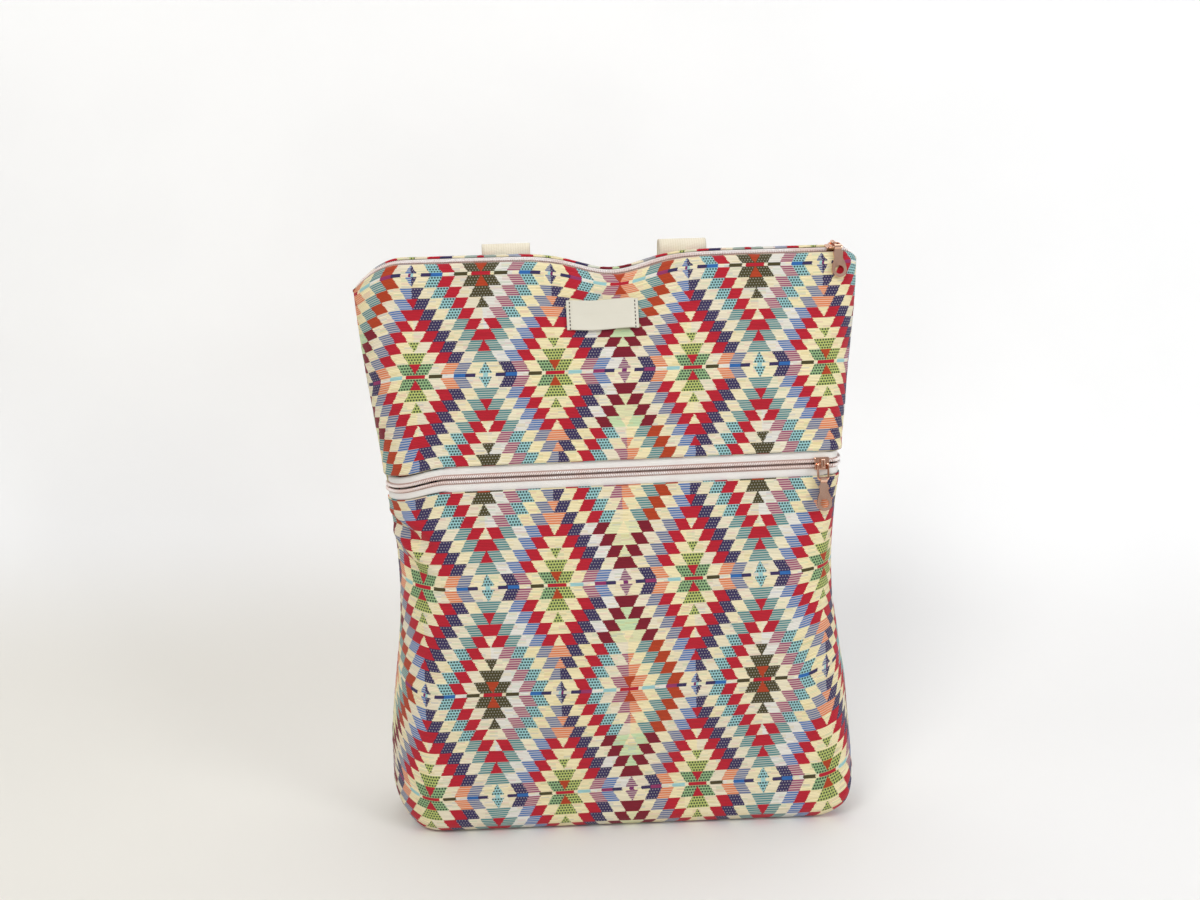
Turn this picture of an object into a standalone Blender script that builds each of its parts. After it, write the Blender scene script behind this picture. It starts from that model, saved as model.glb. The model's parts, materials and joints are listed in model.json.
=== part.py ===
# Zipped backpack in patterned cloth, with a front pocket, two zips and two webbing shoulder straps.
# Metres, +Z up. The front faces -Y, +X is to the right seen from the front, and the base stands on Z = 0.
# The bag is shaped upright first; lean() then tilts everything above the base a little to the left.

import math

import bmesh
import bpy
from mathutils import Matrix, Vector

# The bag's outer form
RIDGE_Z = 0.426  # the top zip's tape, at the middle of the bag
TOP_WIDTH = 0.373
WAIST_WIDTH = 0.331
WAIST_Z = 0.190
BASE_WIDTH = 0.358
BASE_WIDTH_Z = 0.050  # the width stays that of the base up to here
FRONT_BELLY = 0.050  # depth of the front half, from the side seams
BACK_BELLY = 0.040
BELLY_Z = 0.100  # the depth starts to shrink above this
UPPER_BULGE = 0.005
LOWER_BULGE = 0.005
CORNER_LEFT = 0.042  # width of the rounded front corner
CORNER_RIGHT = 0.014
CORNER_SWELL = 0.016  # how much rounder the right corner is between the zips
CORNER_BACK = 0.035
BASE_CORNER = 0.036  # rounding of the lower corners, seen from the front
BASE_EDGE = 0.014
TOP_DROP_LEFT, TOP_DROP_LEFT_RUN = 0.020, 0.036
TOP_DROP_RIGHT, TOP_DROP_RIGHT_RUN = 0.007, 0.011
LEAN = math.radians(1.8)
LEAN_Z = 0.036  # the lean builds up below this
CENTRE_X = 0.0101  # brings the leaning bag's box back over the origin
SEAM_Y = -0.0065  # the side seams' plane

# Cloth and clearances
CLOTH = 0.0015
LINING = 0.0006
GAP = 0.0003

# Zips, in their own frame: X along the zip, Y across it, Z out of the bag
POCKET_Z = 0.272
TOP_TILT = math.radians(18)  # the top zip faces a little forwards
TAPE = 0.0006
COIL_RADIUS = 0.00105
COIL_SLIT = 0.0016
TAPE_SHOWN = 0.0060  # the width of tape between the coil and the cloth
TAPE_LAP = 0.0016  # what the cloth hides of it
TAPE_GAP = 0.0008  # between its ends and the cloth, where it bends away
TOP_ZIP_SHORT = 0.0040  # from its ends to the bag's widest points
POCKET_ZIP_END = 0.04  # the share of the depth that is left beside its ends, at the side seams
RIDGE_RADIUS = 0.005  # the cloth's turn over the ridge
RIDGE_LAP = 0.0010
SLIDER_LENGTH, SLIDER_WIDTH = 0.0110, 0.0092
PLATE = 0.0012
SLIDER_CLEARANCE = 0.0004
FIN = 0.0010
FIN_LENGTH = 0.0040
CROWN_LENGTH, CROWN_WIDTH, CROWN_HEIGHT = 0.0030, 0.0066, 0.0036
BAIL_WIRE = 0.00075
BAIL_WIDTH, BAIL_LENGTH = 0.0078, 0.0120
PULL_LENGTH, PULL_WIDTH, PULL_NECK = 0.0240, 0.0112, 0.0072
PULL_PLATE = 0.0016
PULL_HOLE = 0.00325
EYE_RADIUS, EYE_LENGTH = 0.0020, 0.0050
PIN_CLEARANCE = 0.0004
TOP_SLIDER_X, POCKET_SLIDER_X = 0.1690, 0.1500  # where the closed zips' sliders rest
TOP_BAIL_ANGLE, TOP_PULL_ANGLE = math.radians(75), math.radians(15)  # from straight down, outwards
POCKET_PULL_LIFT = math.radians(2)

# Label
LABEL_WIDTH, LABEL_HEIGHT, LABEL_CLOTH = 0.052, 0.021, 0.0008
LABEL_Z = 0.3860
LABEL_X = -0.0070

# Shoulder straps
WEBBING_WIDTH, WEBBING = 0.036, 0.0018
STRAP_X = 0.0665  # from their own middle to each strap's middle, at the top
STRAP_SHIFT = -0.0080  # they are sewn a little left of the bag's middle
STRAP_SEWN_Z = 0.372
STRAP_FOLD_Z = 0.4385
STRAP_FOLD_RADIUS = 0.0055
STRAP_SLACK = 0.036  # how far the strap stands off the back at most
RUN_TOP_X, RUN_TOP_Z = 0.098, 0.205  # the straight lower run, from here
RUN_END_X, RUN_END_Z = 0.133, 0.072  # to the ring's upper bar
RUN_STAND_OFF = 0.009  # the run's plane, behind the back panel
ADJUSTER_Z = 0.150
ADJUSTER_FRAME, ADJUSTER_PLATE = 0.0040, 0.0020
ADJUSTER_SLOT, ADJUSTER_BAR = 0.0068, 0.0034
RING_WIRE = 0.0015
RING_HEIGHT = 0.016
LOOP_TAIL = 0.020  # the length folded back round the ring
TAB_FREE, TAB_SEWN = 0.014, 0.012  # the tab's lengths between its seam and the ring, and on the back

# Values that follow from the ones above
TAPE_INNER = COIL_SLIT / 2 + GAP
COIL_Y = COIL_SLIT / 2 + COIL_RADIUS
COIL_Z = TAPE / 2 + GAP + COIL_RADIUS
CLOTH_EDGE = COIL_SLIT / 2 + 2 * COIL_RADIUS + TAPE_SHOWN
TAPE_OUTER = CLOTH_EDGE + TAPE_LAP
CLOTH_FACE = TAPE / 2 + GAP + CLOTH  # the cloth's outer face, above the tape's middle
CHANNEL_LOW = -TAPE / 2 - SLIDER_CLEARANCE
CHANNEL_HIGH = COIL_Z + COIL_RADIUS + SLIDER_CLEARANCE
CHANNEL_HALF = COIL_Y + COIL_RADIUS + SLIDER_CLEARANCE
SLIDER_TOP = CHANNEL_HIGH + PLATE
AXIS_Z = SLIDER_TOP + CROWN_HEIGHT / 2
POCKET_SPAN = RIDGE_Z - POCKET_Z

FRONT, BACK = -1, 1
COLOURS = {
    "cloth": ((0.45, 0.16, 0.15, 1), 0.85, 0.0),
    "lining": ((0.75, 0.70, 0.60, 1), 0.85, 0.0),
    "tape": ((0.86, 0.84, 0.80, 1), 0.80, 0.0),
    "coil": ((0.80, 0.58, 0.52, 1), 0.35, 0.4),
    "metal": ((0.85, 0.52, 0.42, 1), 0.25, 1.0),
    "label": ((0.88, 0.86, 0.78, 1), 0.80, 0.0),
    "webbing": ((0.86, 0.82, 0.72, 1), 0.85, 0.0),
}


def clear_scene():
    for old in list(bpy.data.objects):
        bpy.data.objects.remove(old)


def new_collection(name):
    made = bpy.data.collections.new(name)
    bpy.context.scene.collection.children.link(made)
    return made


def add_material(obj, kind):
    colour, roughness, metallic = COLOURS[kind]
    material = bpy.data.materials.new(obj.name)
    material.use_nodes = True
    shader = material.node_tree.nodes["Principled BSDF"]
    shader.inputs["Base Color"].default_value = colour
    shader.inputs["Roughness"].default_value = roughness
    shader.inputs["Metallic"].default_value = metallic
    obj.data.materials.append(material)


def smooth_step(value, low, high):
    part = min(max((value - low) / (high - low), 0.0), 1.0)
    return part * part * (3 - 2 * part)


# The bag's form: every cloth piece reads its points from these functions.


def half_width(z):
    if z < WAIST_Z:
        share = smooth_step(z, BASE_WIDTH_Z, WAIST_Z)
        return (BASE_WIDTH + (WAIST_WIDTH - BASE_WIDTH) * share) / 2
    share = smooth_step(z, WAIST_Z, RIDGE_Z)
    return (WAIST_WIDTH + (TOP_WIDTH - WAIST_WIDTH) * share) / 2


def ridge_turn(side):
    """Where the cloth's turn over the ridge has its centre: (distance from the seam plane, height)."""
    across, out = CLOTH_EDGE + RIDGE_LAP, CLOTH_FACE - RIDGE_RADIUS
    y = side * across * math.cos(TOP_TILT) - out * math.sin(TOP_TILT)
    z = RIDGE_Z + side * across * math.sin(TOP_TILT) + out * math.cos(TOP_TILT)
    return abs(y), z


def belly_share(z):
    part = min(max((z - BELLY_Z) / (RIDGE_Z - BELLY_Z), 0.0), 1.0)
    return math.cos(part * math.pi / 2)


def depth(side, z):
    top = ridge_turn(side)[0] + RIDGE_RADIUS
    belly = FRONT_BELLY if side == FRONT else BACK_BELLY
    return top + (belly - top) * belly_share(z)


def between_zips(z):
    """0 at either zip and at the base, 1 halfway between."""
    part = z / POCKET_Z if z < POCKET_Z else (z - POCKET_Z) / POCKET_SPAN
    return math.sin(math.pi * min(max(part, 0.0), 1.0)) ** 2


def corner_widths(side, z):
    if side == BACK:
        return CORNER_BACK, CORNER_BACK
    return CORNER_LEFT, CORNER_RIGHT + CORNER_SWELL * between_zips(z)


def section(side, turn, z, inset=0.0, seam_inset=0.0):
    """A point of the bag's wall seen from above: turn runs 0 to 1 from the left seam to the right one."""
    left, right = corner_widths(side, z)
    half, deep = half_width(z), depth(side, z) - inset
    if turn < 0.25:
        angle = turn * 2 * math.pi
        return -half + left - (left - seam_inset) * math.cos(angle), deep * math.sin(angle)
    if turn > 0.75:
        angle = (1 - turn) * 2 * math.pi
        return half - right + (right - seam_inset) * math.cos(angle), deep * math.sin(angle)
    x = -half + left + (2 * half - left - right) * (turn - 0.25) * 2
    if side == FRONT:
        size = LOWER_BULGE if z < POCKET_Z else UPPER_BULGE
        across = math.sin(math.pi * (turn - 0.25) * 2) ** 2
        deep += size * between_zips(z) * across
    return x, deep


def base_lift(x, inset=0.0):
    """The base's height: flat, then rounded up to the side seams."""
    reach = max(abs(x) - (BASE_WIDTH / 2 - BASE_CORNER), 0.0)
    radius = BASE_CORNER - inset
    return inset + radius - math.sqrt(max(radius**2 - reach**2, 0.0))


def top_drop(x):
    """How far the ridge falls towards its ends."""
    half = TOP_WIDTH / 2
    drop, run = (TOP_DROP_LEFT, TOP_DROP_LEFT_RUN) if x < 0 else (TOP_DROP_RIGHT, TOP_DROP_RIGHT_RUN)
    part = min(max((abs(x) - half + run) / run, 0.0), 1.0)
    return drop * part * part


def lean(point):
    """Tilts the upright bag to the left, more and more above the base, and moves it over the origin."""
    x, y, z = point
    shift = z * z / (2 * LEAN_Z) if z < LEAN_Z else z - LEAN_Z / 2
    rise = x * min(max(z / LEAN_Z, 0.0), 1.0)
    slope = math.tan(LEAN)
    return Vector((x - slope * shift + CENTRE_X, y + SEAM_Y, z + slope * rise))


def turns(corner_steps, middle_steps):
    """Columns round a panel: even in the corners, and closer together next to them than in the middle."""
    corner = [0.25 * i / corner_steps for i in range(corner_steps)]
    middle = [0.5 - 0.25 * math.cos(math.pi * i / middle_steps) for i in range(middle_steps + 1)]
    return corner + middle + [1 - t for t in reversed(corner)]


def steps(first, last, count):
    return [first + (last - first) * i / count for i in range(count + 1)]


# Building blocks


def place_grid(mesh, columns, rows, place):
    """A grid of columns by rows points, each put where place(column, row) says."""
    grid = bmesh.ops.create_grid(mesh, x_segments=columns - 1, y_segments=rows - 1, size=0.5)
    for vertex in grid["verts"]:
        column = round((vertex.co.x + 0.5) * (columns - 1))
        row = round((vertex.co.y + 0.5) * (rows - 1))
        vertex.co = place(column, row)
    return grid["verts"]


def mesh_object(name, mesh, kind, collection):
    data = bpy.data.meshes.new(name)
    mesh.to_mesh(data)
    mesh.free()
    obj = bpy.data.objects.new(name, data)
    collection.objects.link(obj)
    if kind:
        add_material(obj, kind)
        data.shade_smooth()
        data.set_sharp_from_angle(angle=math.radians(40))
    return obj


def sheet(name, kind, grids, thickness, collection, offset=0.0, outwards=None):
    """Cloth: open grids welded into one surface and given a thickness."""
    mesh = bmesh.new()
    for columns, rows, place in grids:
        place_grid(mesh, columns, rows, place)
    bmesh.ops.remove_doubles(mesh, verts=mesh.verts, dist=1e-5)
    bmesh.ops.dissolve_degenerate(mesh, edges=mesh.edges, dist=1e-6)
    bmesh.ops.recalc_face_normals(mesh, faces=mesh.faces)
    if outwards is not None:
        mesh.faces.ensure_lookup_table()
        seen = max(mesh.faces, key=lambda face: face.calc_center_median().dot(outwards))
        if seen.normal.dot(outwards) < 0:
            bmesh.ops.reverse_faces(mesh, faces=mesh.faces)
    obj = mesh_object(name, mesh, kind, collection)
    shell = obj.modifiers.new("thickness", "SOLIDIFY")
    shell.thickness = thickness
    shell.offset = offset
    shell.use_even_offset = True
    return obj


def cut(obj, cutter, operation="DIFFERENCE"):
    boolean = obj.modifiers.new(cutter.name, "BOOLEAN")
    boolean.operation = operation
    boolean.object = cutter
    boolean.solver = "EXACT"


def hide(obj):
    obj.hide_render = True
    obj.display_type = "WIRE"
    return obj


def box_mesh(low, high):
    mesh = bmesh.new()
    low, high = Vector(low), Vector(high)
    size = high - low
    bmesh.ops.create_cube(mesh, size=1, matrix=Matrix.Translation((low + high) / 2) @ Matrix.Diagonal((*size, 1)))
    return mesh


def cylinder_mesh(radius, low, high, along, sides=20):
    """A cylinder between two points on a line along X, Y or Z."""
    mesh = bmesh.new()
    low, high = Vector(low), Vector(high)
    turn = {"X": Matrix.Rotation(math.pi / 2, 4, "Y"), "Y": Matrix.Rotation(math.pi / 2, 4, "X"), "Z": Matrix()}[along]
    place = Matrix.Translation((low + high) / 2) @ turn
    bmesh.ops.create_cone(
        mesh, cap_ends=True, segments=sides, radius1=radius, radius2=radius, depth=(high - low).length, matrix=place
    )
    return mesh


def tube(name, kind, points, radius, collection, closed=False, resolution=2):
    """A wire or coil: a curve with a round section, made a mesh with its caps welded on."""
    curve = bpy.data.curves.new(name, "CURVE")
    curve.dimensions = "3D"
    curve.bevel_depth = radius
    curve.bevel_resolution = resolution
    curve.use_fill_caps = not closed
    spline = curve.splines.new("POLY")
    spline.points.add(len(points) - 1)
    for target, point in zip(spline.points, points):
        target.co = (*point, 1)
    spline.use_cyclic_u = closed
    guide = bpy.data.objects.new(name + "_curve", curve)
    bpy.context.scene.collection.objects.link(guide)
    bpy.context.view_layer.update()
    graph = bpy.context.evaluated_depsgraph_get()
    data = bpy.data.meshes.new_from_object(guide.evaluated_get(graph))
    bpy.data.objects.remove(guide)
    mesh = bmesh.new()
    mesh.from_mesh(data)
    bpy.data.meshes.remove(data)
    bmesh.ops.remove_doubles(mesh, verts=mesh.verts, dist=1e-5)
    bmesh.ops.recalc_face_normals(mesh, faces=mesh.faces)
    return mesh_object(name, mesh, kind, collection)


# Cloth panels


def wall_rows(side, low, high, count):
    """Rows of the wall between two heights."""

    def row_at(z):
        return lambda turn: (*section(side, turn, z), z)

    return [row_at(z) for z in steps(low, high, count)]


def base_rows(side):
    """The base, from the seam under the bag to the lower edge, then the edge's round."""

    def flat(share):
        def place(turn):
            x, y = section(side, turn, 0.0)
            return x, share * max(y - BASE_EDGE, 0.0), base_lift(x)

        return place

    def round_edge(angle):
        def place(turn):
            x, y = section(side, turn, 0.0)
            edge = min(BASE_EDGE, y)
            return x, y - edge * (1 - math.sin(angle)), base_lift(x) + edge * (1 - math.cos(angle))

        return place

    return [flat(0.0), flat(0.5), flat(1.0)] + [round_edge(math.radians(a)) for a in (30, 60)]


def lower_wall_rows(side, high, count):
    """The wall from the base's rounded edge up, following the lifted corners."""

    def row_at(share):
        def place(turn):
            x, y = section(side, turn, 0.0)
            low = base_lift(x) + min(BASE_EDGE, y)
            z = low + (high - low) * share
            return (*section(side, turn, z), z)

        return place

    return [row_at(share) for share in steps(0.0, 1.0, count)]


def ridge_rows(side, low, count):
    """The wall from low up to the ridge, where the cloth turns over towards the zip."""
    centre_z = ridge_turn(side)[1]
    end = math.pi / 2 + side * TOP_TILT
    whole_rise = RIDGE_RADIUS * math.sin(end) + RIDGE_LAP * math.cos(end)
    tape_fall = side * CLOTH_EDGE * math.sin(TOP_TILT)

    def wall_top(turn):
        """Where the turn starts, and how much of it is left near the side seams."""
        x, y = section(side, turn, RIDGE_Z)
        share = y / depth(side, RIDGE_Z)
        return x, y, centre_z - top_drop(x) + (1 - share) * (whole_rise - tape_fall), share

    def wall(part):
        def place(turn):
            high = wall_top(turn)[2]
            z = low + (high - low) * part
            return (*section(side, turn, z), z)

        return place

    def turned(angle, lap):
        def place(turn):
            x, y, high, share = wall_top(turn)
            back = RIDGE_RADIUS * (1 - math.cos(angle)) + lap * math.sin(end)
            rise = RIDGE_RADIUS * math.sin(angle) + lap * math.cos(end)
            return x, y - back * share, high + rise * share

        return place

    walls = [wall(part) for part in steps(0.0, 1.0, count)]
    rounds = [turned(end * part, 0.0) for part in (0.34, 0.67, 1.0)]
    return walls + rounds + [turned(end, RIDGE_LAP)]


def press_flush(obj, side):
    """Applies the cloth's thickness, and presses its rim flush with the side seams' plane."""
    bpy.context.view_layer.update()
    graph = bpy.context.evaluated_depsgraph_get()
    data = bpy.data.meshes.new_from_object(obj.evaluated_get(graph))
    obj.modifiers.clear()
    for vertex in data.vertices:
        beyond = side * (vertex.co.y - SEAM_Y) - GAP / 2
        if beyond < 0:
            vertex.co.y -= side * beyond
    obj.data = data


def panel(name, side, rows, across, collection):
    def place(column, row):
        x, y, z = rows[row](across[column])
        return lean((x, side * y, z))

    grid = (len(across), len(rows), place)
    obj = sheet(name, "cloth", [grid], CLOTH, collection, offset=-1.0, outwards=Vector((0, side, 0)))
    press_flush(obj, side)
    return obj


def make_panels(parts):
    across = turns(5, 12)
    edge = CLOTH_EDGE * math.sin(pocket_tilt())
    lower = base_rows(FRONT) + lower_wall_rows(FRONT, POCKET_Z - edge, 12)
    panel("front_lower_panel", FRONT, lower, across, parts)
    upper = ridge_rows(FRONT, POCKET_Z + edge, 8)
    panel("front_upper_panel", FRONT, upper, across, parts)
    back = base_rows(BACK) + lower_wall_rows(BACK, POCKET_Z, 11) + ridge_rows(BACK, POCKET_Z, 7)[1:]
    panel("back_panel", BACK, back, across, parts)


# Linings


def make_main_lining(parts):
    """The sack inside: one sheet all round, open towards the top zip."""
    clear_front, clear_back, clear_seam = 0.0075, CLOTH + 0.0010, CLOTH + 0.0022
    across = turns(3, 4)
    wall_heights = (0.0, 0.05, 0.10, 0.16, 0.22, POCKET_Z, 0.33, RIDGE_Z - 0.024)

    def grid(side, clear):
        def flat(share):
            def place(turn):
                x, y = section(side, turn, 0.0, clear, clear_seam)
                return x, share * max(y - BASE_EDGE, 0.0), base_lift(x, clear_seam)

            return place

        def edge_middle(turn):
            x, y = section(side, turn, 0.0, clear, clear_seam)
            edge = min(BASE_EDGE, y)
            angle = math.radians(45)
            return x, y - edge * (1 - math.sin(angle)), base_lift(x, clear_seam) + edge * (1 - math.cos(angle))

        def wall(z):
            def place(turn):
                x, y = section(side, turn, 0.0, clear, clear_seam)
                height = max(z, base_lift(x, clear_seam) + min(BASE_EDGE, y))
                return (*section(side, turn, height, clear, clear_seam), height)

            return place

        rows = [flat(0.0), flat(1.0), edge_middle] + [wall(z) for z in wall_heights]

        def place(column, row):
            x, y, z = rows[row](across[column])
            return lean((x, side * y, z))

        return len(across), len(rows), place

    grids = [grid(FRONT, clear_front), grid(BACK, clear_back)]
    sheet("main_lining", "lining", grids, LINING, parts)


def make_pocket_lining(parts):
    """One sheet folded at its foot: both edges are sewn under the pocket zip's tapes."""
    near, far, foot = 0.0032, 0.0056, 0.070
    under_tape = TAPE_OUTER + 0.002
    front_leg = [(z, near) for z in steps(POCKET_Z - under_tape, foot + 0.006, 6)]
    fold = [(foot + 0.002, near + 0.0004), (foot, (near + far) / 2), (foot + 0.002, far - 0.0004)]
    back_leg = [(z, far) for z in steps(foot + 0.006, POCKET_Z + 0.006, 6)]
    path = front_leg + fold + back_leg + [(POCKET_Z + under_tape, near)]
    across = steps(0.22, 0.77, 7)

    def place(column, row):
        z, inset = path[row]
        x, y = section(FRONT, across[column], z, inset, inset)
        return lean((x, FRONT * y, z))

    sheet("pocket_lining", "lining", [(len(across), len(path), place)], LINING, parts)


# Zips


def pocket_tilt():
    """The pocket zip lies in the wall, which slopes back a little above the belly."""
    step = 0.001
    slope = (depth(FRONT, POCKET_Z + step) - depth(FRONT, POCKET_Z - step)) / (2 * step)
    return math.pi / 2 + math.atan(slope)


class ZipFrame:
    """Takes a zip's own coordinates to the upright bag's: x along, y across, z out."""

    def __init__(self, y, z, tilt, half, x_range, flat_ends, fall, sunk):
        self.half = half
        self.origin = Vector((0, y, z))
        self.turn = Matrix.Rotation(tilt, 3, "X")
        self.tilt = tilt
        self.x_range = x_range
        self.flat_ends = flat_ends
        self.fall = fall
        self.sunk = sunk  # how far the tape lies below the line that the fall follows

    def near_end(self, x):
        """0 along the straight part, 1 where the zip bends away at its ends."""
        left, right = self.flat_ends
        reach = 0.012
        return max(smooth_step(-x, -left - reach, -left), smooth_step(x, right - reach, right))

    def at(self, x, y, z):
        """A point of the tape or the coil, which follow the bag's corner at either end."""
        side = BACK if y > 0 else FRONT
        step = min(0.0002, (self.half - abs(x)) / 4)
        share, fallen = self.fall(x, side)
        slope = (self.fall(x + step, side)[1] - self.fall(x - step, side)[1]).length / (2 * step)
        if x < 0:
            slope = -slope
        widest = TAPE_OUTER * share - (TAPE_LAP + TAPE_GAP) * self.near_end(x)
        across = math.copysign(min(abs(y) * share, widest), y)
        point = self.turn @ Vector((0, across, z - self.sunk)) + self.origin
        square = 1 / math.sqrt(1 + slope * slope)
        out = z - self.sunk
        inwards = fallen.normalized() * out * (1 - square)
        return lean(point + Vector((x + out * slope * square, 0, 0)) + fallen + inwards)

    def metal(self, x):
        """The place of a rigid piece: its own origin on the tape at x."""
        here = lean(self.turn @ Vector((0, 0, -self.sunk)) + self.origin + Vector((x, 0, 0)))
        return Matrix.Translation(here) @ Matrix.Rotation(-LEAN, 4, "Y") @ Matrix.Rotation(self.tilt, 4, "X")


def ellipse_share(x, side, z):
    """How deep the bag still is at x, against its flat middle."""
    left, right = corner_widths(side, z)
    corner = left if x < 0 else right
    beyond = max(abs(x) - half_width(z) + corner, 0.0)
    return math.sqrt(max(1 - (beyond / corner) ** 2, 0.0))


def top_fall(x, side):
    """The ridge narrows and falls at its ends."""
    return ellipse_share(x, side, RIDGE_Z), Vector((0, 0, -top_drop(x)))


def pocket_fall(x, _side):
    """The front wall curves back at its corners."""
    gone = 1 - ellipse_share(x, FRONT, POCKET_Z)
    return 1.0, Vector((0, depth(FRONT, POCKET_Z) * gone, 0))


def zip_frames():
    half = TOP_WIDTH / 2
    reach = half - TOP_ZIP_SHORT
    bends = (TOP_DROP_LEFT_RUN - half, half - CORNER_BACK)
    top = ZipFrame(0.0, RIDGE_Z, TOP_TILT, half, (-reach, reach), bends, top_fall, 0.0)
    half = half_width(POCKET_Z)
    short = 1 - math.sqrt(1 - POCKET_ZIP_END**2)
    ends = (CORNER_LEFT * short - half, half - CORNER_RIGHT * short)
    bends = (CORNER_LEFT - half, half - CORNER_RIGHT)
    y = -depth(FRONT, POCKET_Z)
    pocket = ZipFrame(y, POCKET_Z, pocket_tilt(), half, ends, bends, pocket_fall, CLOTH_FACE)
    return top, pocket


def zip_stations(frame):
    """Places along the zip: far apart where it is straight, close at its curved ends."""
    low, high = frame.x_range
    bend_left, bend_right = frame.flat_ends
    shares = [1 - math.cos(angle) for angle in steps(0, math.pi / 2, 9)[:-1]]
    left = [low + (bend_left - low) * share for share in shares]
    right = [high - (high - bend_right) * share for share in shares]
    return left + [bend_left, bend_left + 0.012, 0.0, bend_right - 0.012, bend_right] + right[::-1]


def make_tape(name, frame, side, parts):
    stations = zip_stations(frame)
    across = [TAPE_INNER, (TAPE_INNER + CLOTH_EDGE) / 2, CLOTH_EDGE, TAPE_OUTER]

    def place(column, row):
        return frame.at(stations[column], side * across[row], 0.0)

    sheet(name, "tape", [(len(stations), len(across), place)], TAPE, parts)


def make_coil(name, frame, side, parts):
    offset = frame.turn @ Vector((0, side * COIL_Y, 0))
    points = [frame.at(x, 0, COIL_Z) + offset for x in zip_stations(frame)]
    tube(name, "coil", points, COIL_RADIUS, parts)


def make_slider(name, place, parts, cutters):
    half_length, half_width_y = SLIDER_LENGTH / 2, SLIDER_WIDTH / 2
    low = CHANNEL_LOW - PLATE
    body = box_mesh((-half_length, -half_width_y, low), (half_length, half_width_y, SLIDER_TOP))
    bmesh.ops.bevel(
        body, geom=body.edges, offset=0.0007, affect="EDGES", segments=2, profile=0.5, material=-1
    )
    obj = mesh_object(name, body, "metal", parts)
    over = 0.001
    shapes = []
    for side in (-1, 1):
        inner, outer = sorted((side * FIN / 2, side * CHANNEL_HALF))
        long = half_length + over
        shapes.append(box_mesh((-long, inner, CHANNEL_LOW), (long, outer, CHANNEL_HIGH)))
        inner, outer = sorted((side * FIN, side * (half_width_y + over)))
        shapes.append(box_mesh((-long, inner, CHANNEL_LOW), (long, outer, -CHANNEL_LOW)))
    rear = half_length - FIN_LENGTH
    shapes.append(box_mesh((-half_length - over, -FIN, CHANNEL_LOW), (rear, FIN, CHANNEL_HIGH)))
    for number, shape in enumerate(shapes):
        cutter = hide(mesh_object(f"{name}_channel_{number}", shape, None, cutters))
        cutter.matrix_world = place
        cut(obj, cutter)
    sunk = 0.0004
    crown = box_mesh(
        (-CROWN_LENGTH / 2, -CROWN_WIDTH / 2, SLIDER_TOP - sunk),
        (CROWN_LENGTH / 2, CROWN_WIDTH / 2, SLIDER_TOP + CROWN_HEIGHT),
    )
    top_edges = [e for e in crown.edges if all(v.co.z > SLIDER_TOP for v in e.verts)]
    bmesh.ops.bevel(crown, geom=top_edges, offset=0.0011, affect="EDGES", segments=3, profile=0.5, material=-1)
    crown_obj = hide(mesh_object(f"{name}_crown", crown, None, cutters))
    crown_obj.matrix_world = place
    cut(obj, crown_obj, "UNION")
    bore = cylinder_mesh(
        BAIL_WIRE + PIN_CLEARANCE, (-CROWN_LENGTH, 0, AXIS_Z), (CROWN_LENGTH, 0, AXIS_Z), "X", sides=16
    )
    bore_obj = hide(mesh_object(f"{name}_bore", bore, None, cutters))
    bore_obj.matrix_world = place
    cut(obj, bore_obj)
    obj.matrix_world = place
    return obj


def make_bail(name, place, parts):
    """A wire loop: its upper bar is the hinge, and it hangs along its own -Z."""
    half, corner = BAIL_WIDTH / 2, 0.0018
    centres = [
        (half - corner, -corner, 0), (half - corner, -BAIL_LENGTH + corner, -90),
        (-half + corner, -BAIL_LENGTH + corner, -180), (-half + corner, -corner, -270),
    ]
    points = []
    for x, z, start in centres:
        for turn in (0, 30, 60, 90):
            angle = math.radians(90 + start - turn)
            points.append(Vector((x + corner * math.cos(angle), 0, z + corner * math.sin(angle))))
    obj = tube(name, "metal", points, BAIL_WIRE, parts, closed=True)
    obj.matrix_world = place
    return obj


def pull_outline():
    """The pull's flat plate, hanging along -Z from its eye: a narrow neck, then a rounded drop."""
    half, neck = PULL_WIDTH / 2, PULL_NECK / 2
    end = BAIL_WIRE + PIN_CLEARANCE - PULL_LENGTH
    middle = end + half
    neck_end = -0.0095
    right = [(EYE_LENGTH / 2, -EYE_RADIUS * 0.6), (EYE_LENGTH / 2, -0.0030), (neck, -0.0042), (neck * 0.88, -0.0080)]
    right += [(neck, neck_end), (half * 0.86, middle + half * 0.9)]
    drop = [(half * math.cos(a), middle - half * math.sin(a)) for a in steps(math.radians(-12), math.pi / 2, 6)]
    right += drop
    return right + [(-x, z) for x, z in reversed(right[:-1])]


def make_pull(name, place, parts, cutters):
    mesh = bmesh.new()
    corners = [mesh.verts.new((x, -PULL_PLATE / 2, z)) for x, z in pull_outline()]
    face = mesh.faces.new(corners)
    grown = bmesh.ops.extrude_face_region(mesh, geom=[face])
    moved = [item for item in grown["geom"] if isinstance(item, bmesh.types.BMVert)]
    bmesh.ops.translate(mesh, verts=moved, vec=(0, PULL_PLATE, 0))
    bmesh.ops.recalc_face_normals(mesh, faces=mesh.faces)
    obj = mesh_object(name, mesh, "metal", parts)
    ends = ((-EYE_LENGTH / 2, 0, 0), (EYE_LENGTH / 2, 0, 0))
    shapes = [("eye", cylinder_mesh(EYE_RADIUS, *ends, "X", sides=16), "UNION")]
    past = ((-EYE_LENGTH, 0, 0), (EYE_LENGTH, 0, 0))
    shapes.append(("bore", cylinder_mesh(BAIL_WIRE + PIN_CLEARANCE, *past, "X", sides=16), "DIFFERENCE"))
    hole_z = BAIL_WIRE + PIN_CLEARANCE - PULL_LENGTH + PULL_WIDTH / 2
    hole = cylinder_mesh(PULL_HOLE, (0, -PULL_PLATE, hole_z), (0, PULL_PLATE, hole_z), "Y", sides=16)
    shapes.append(("hole", hole, "DIFFERENCE"))
    for label, shape, operation in shapes:
        tool = hide(mesh_object(f"{name}_{label}", shape, None, cutters))
        tool.matrix_world = place
        cut(obj, tool, operation)
    obj.matrix_world = place
    return obj


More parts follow.
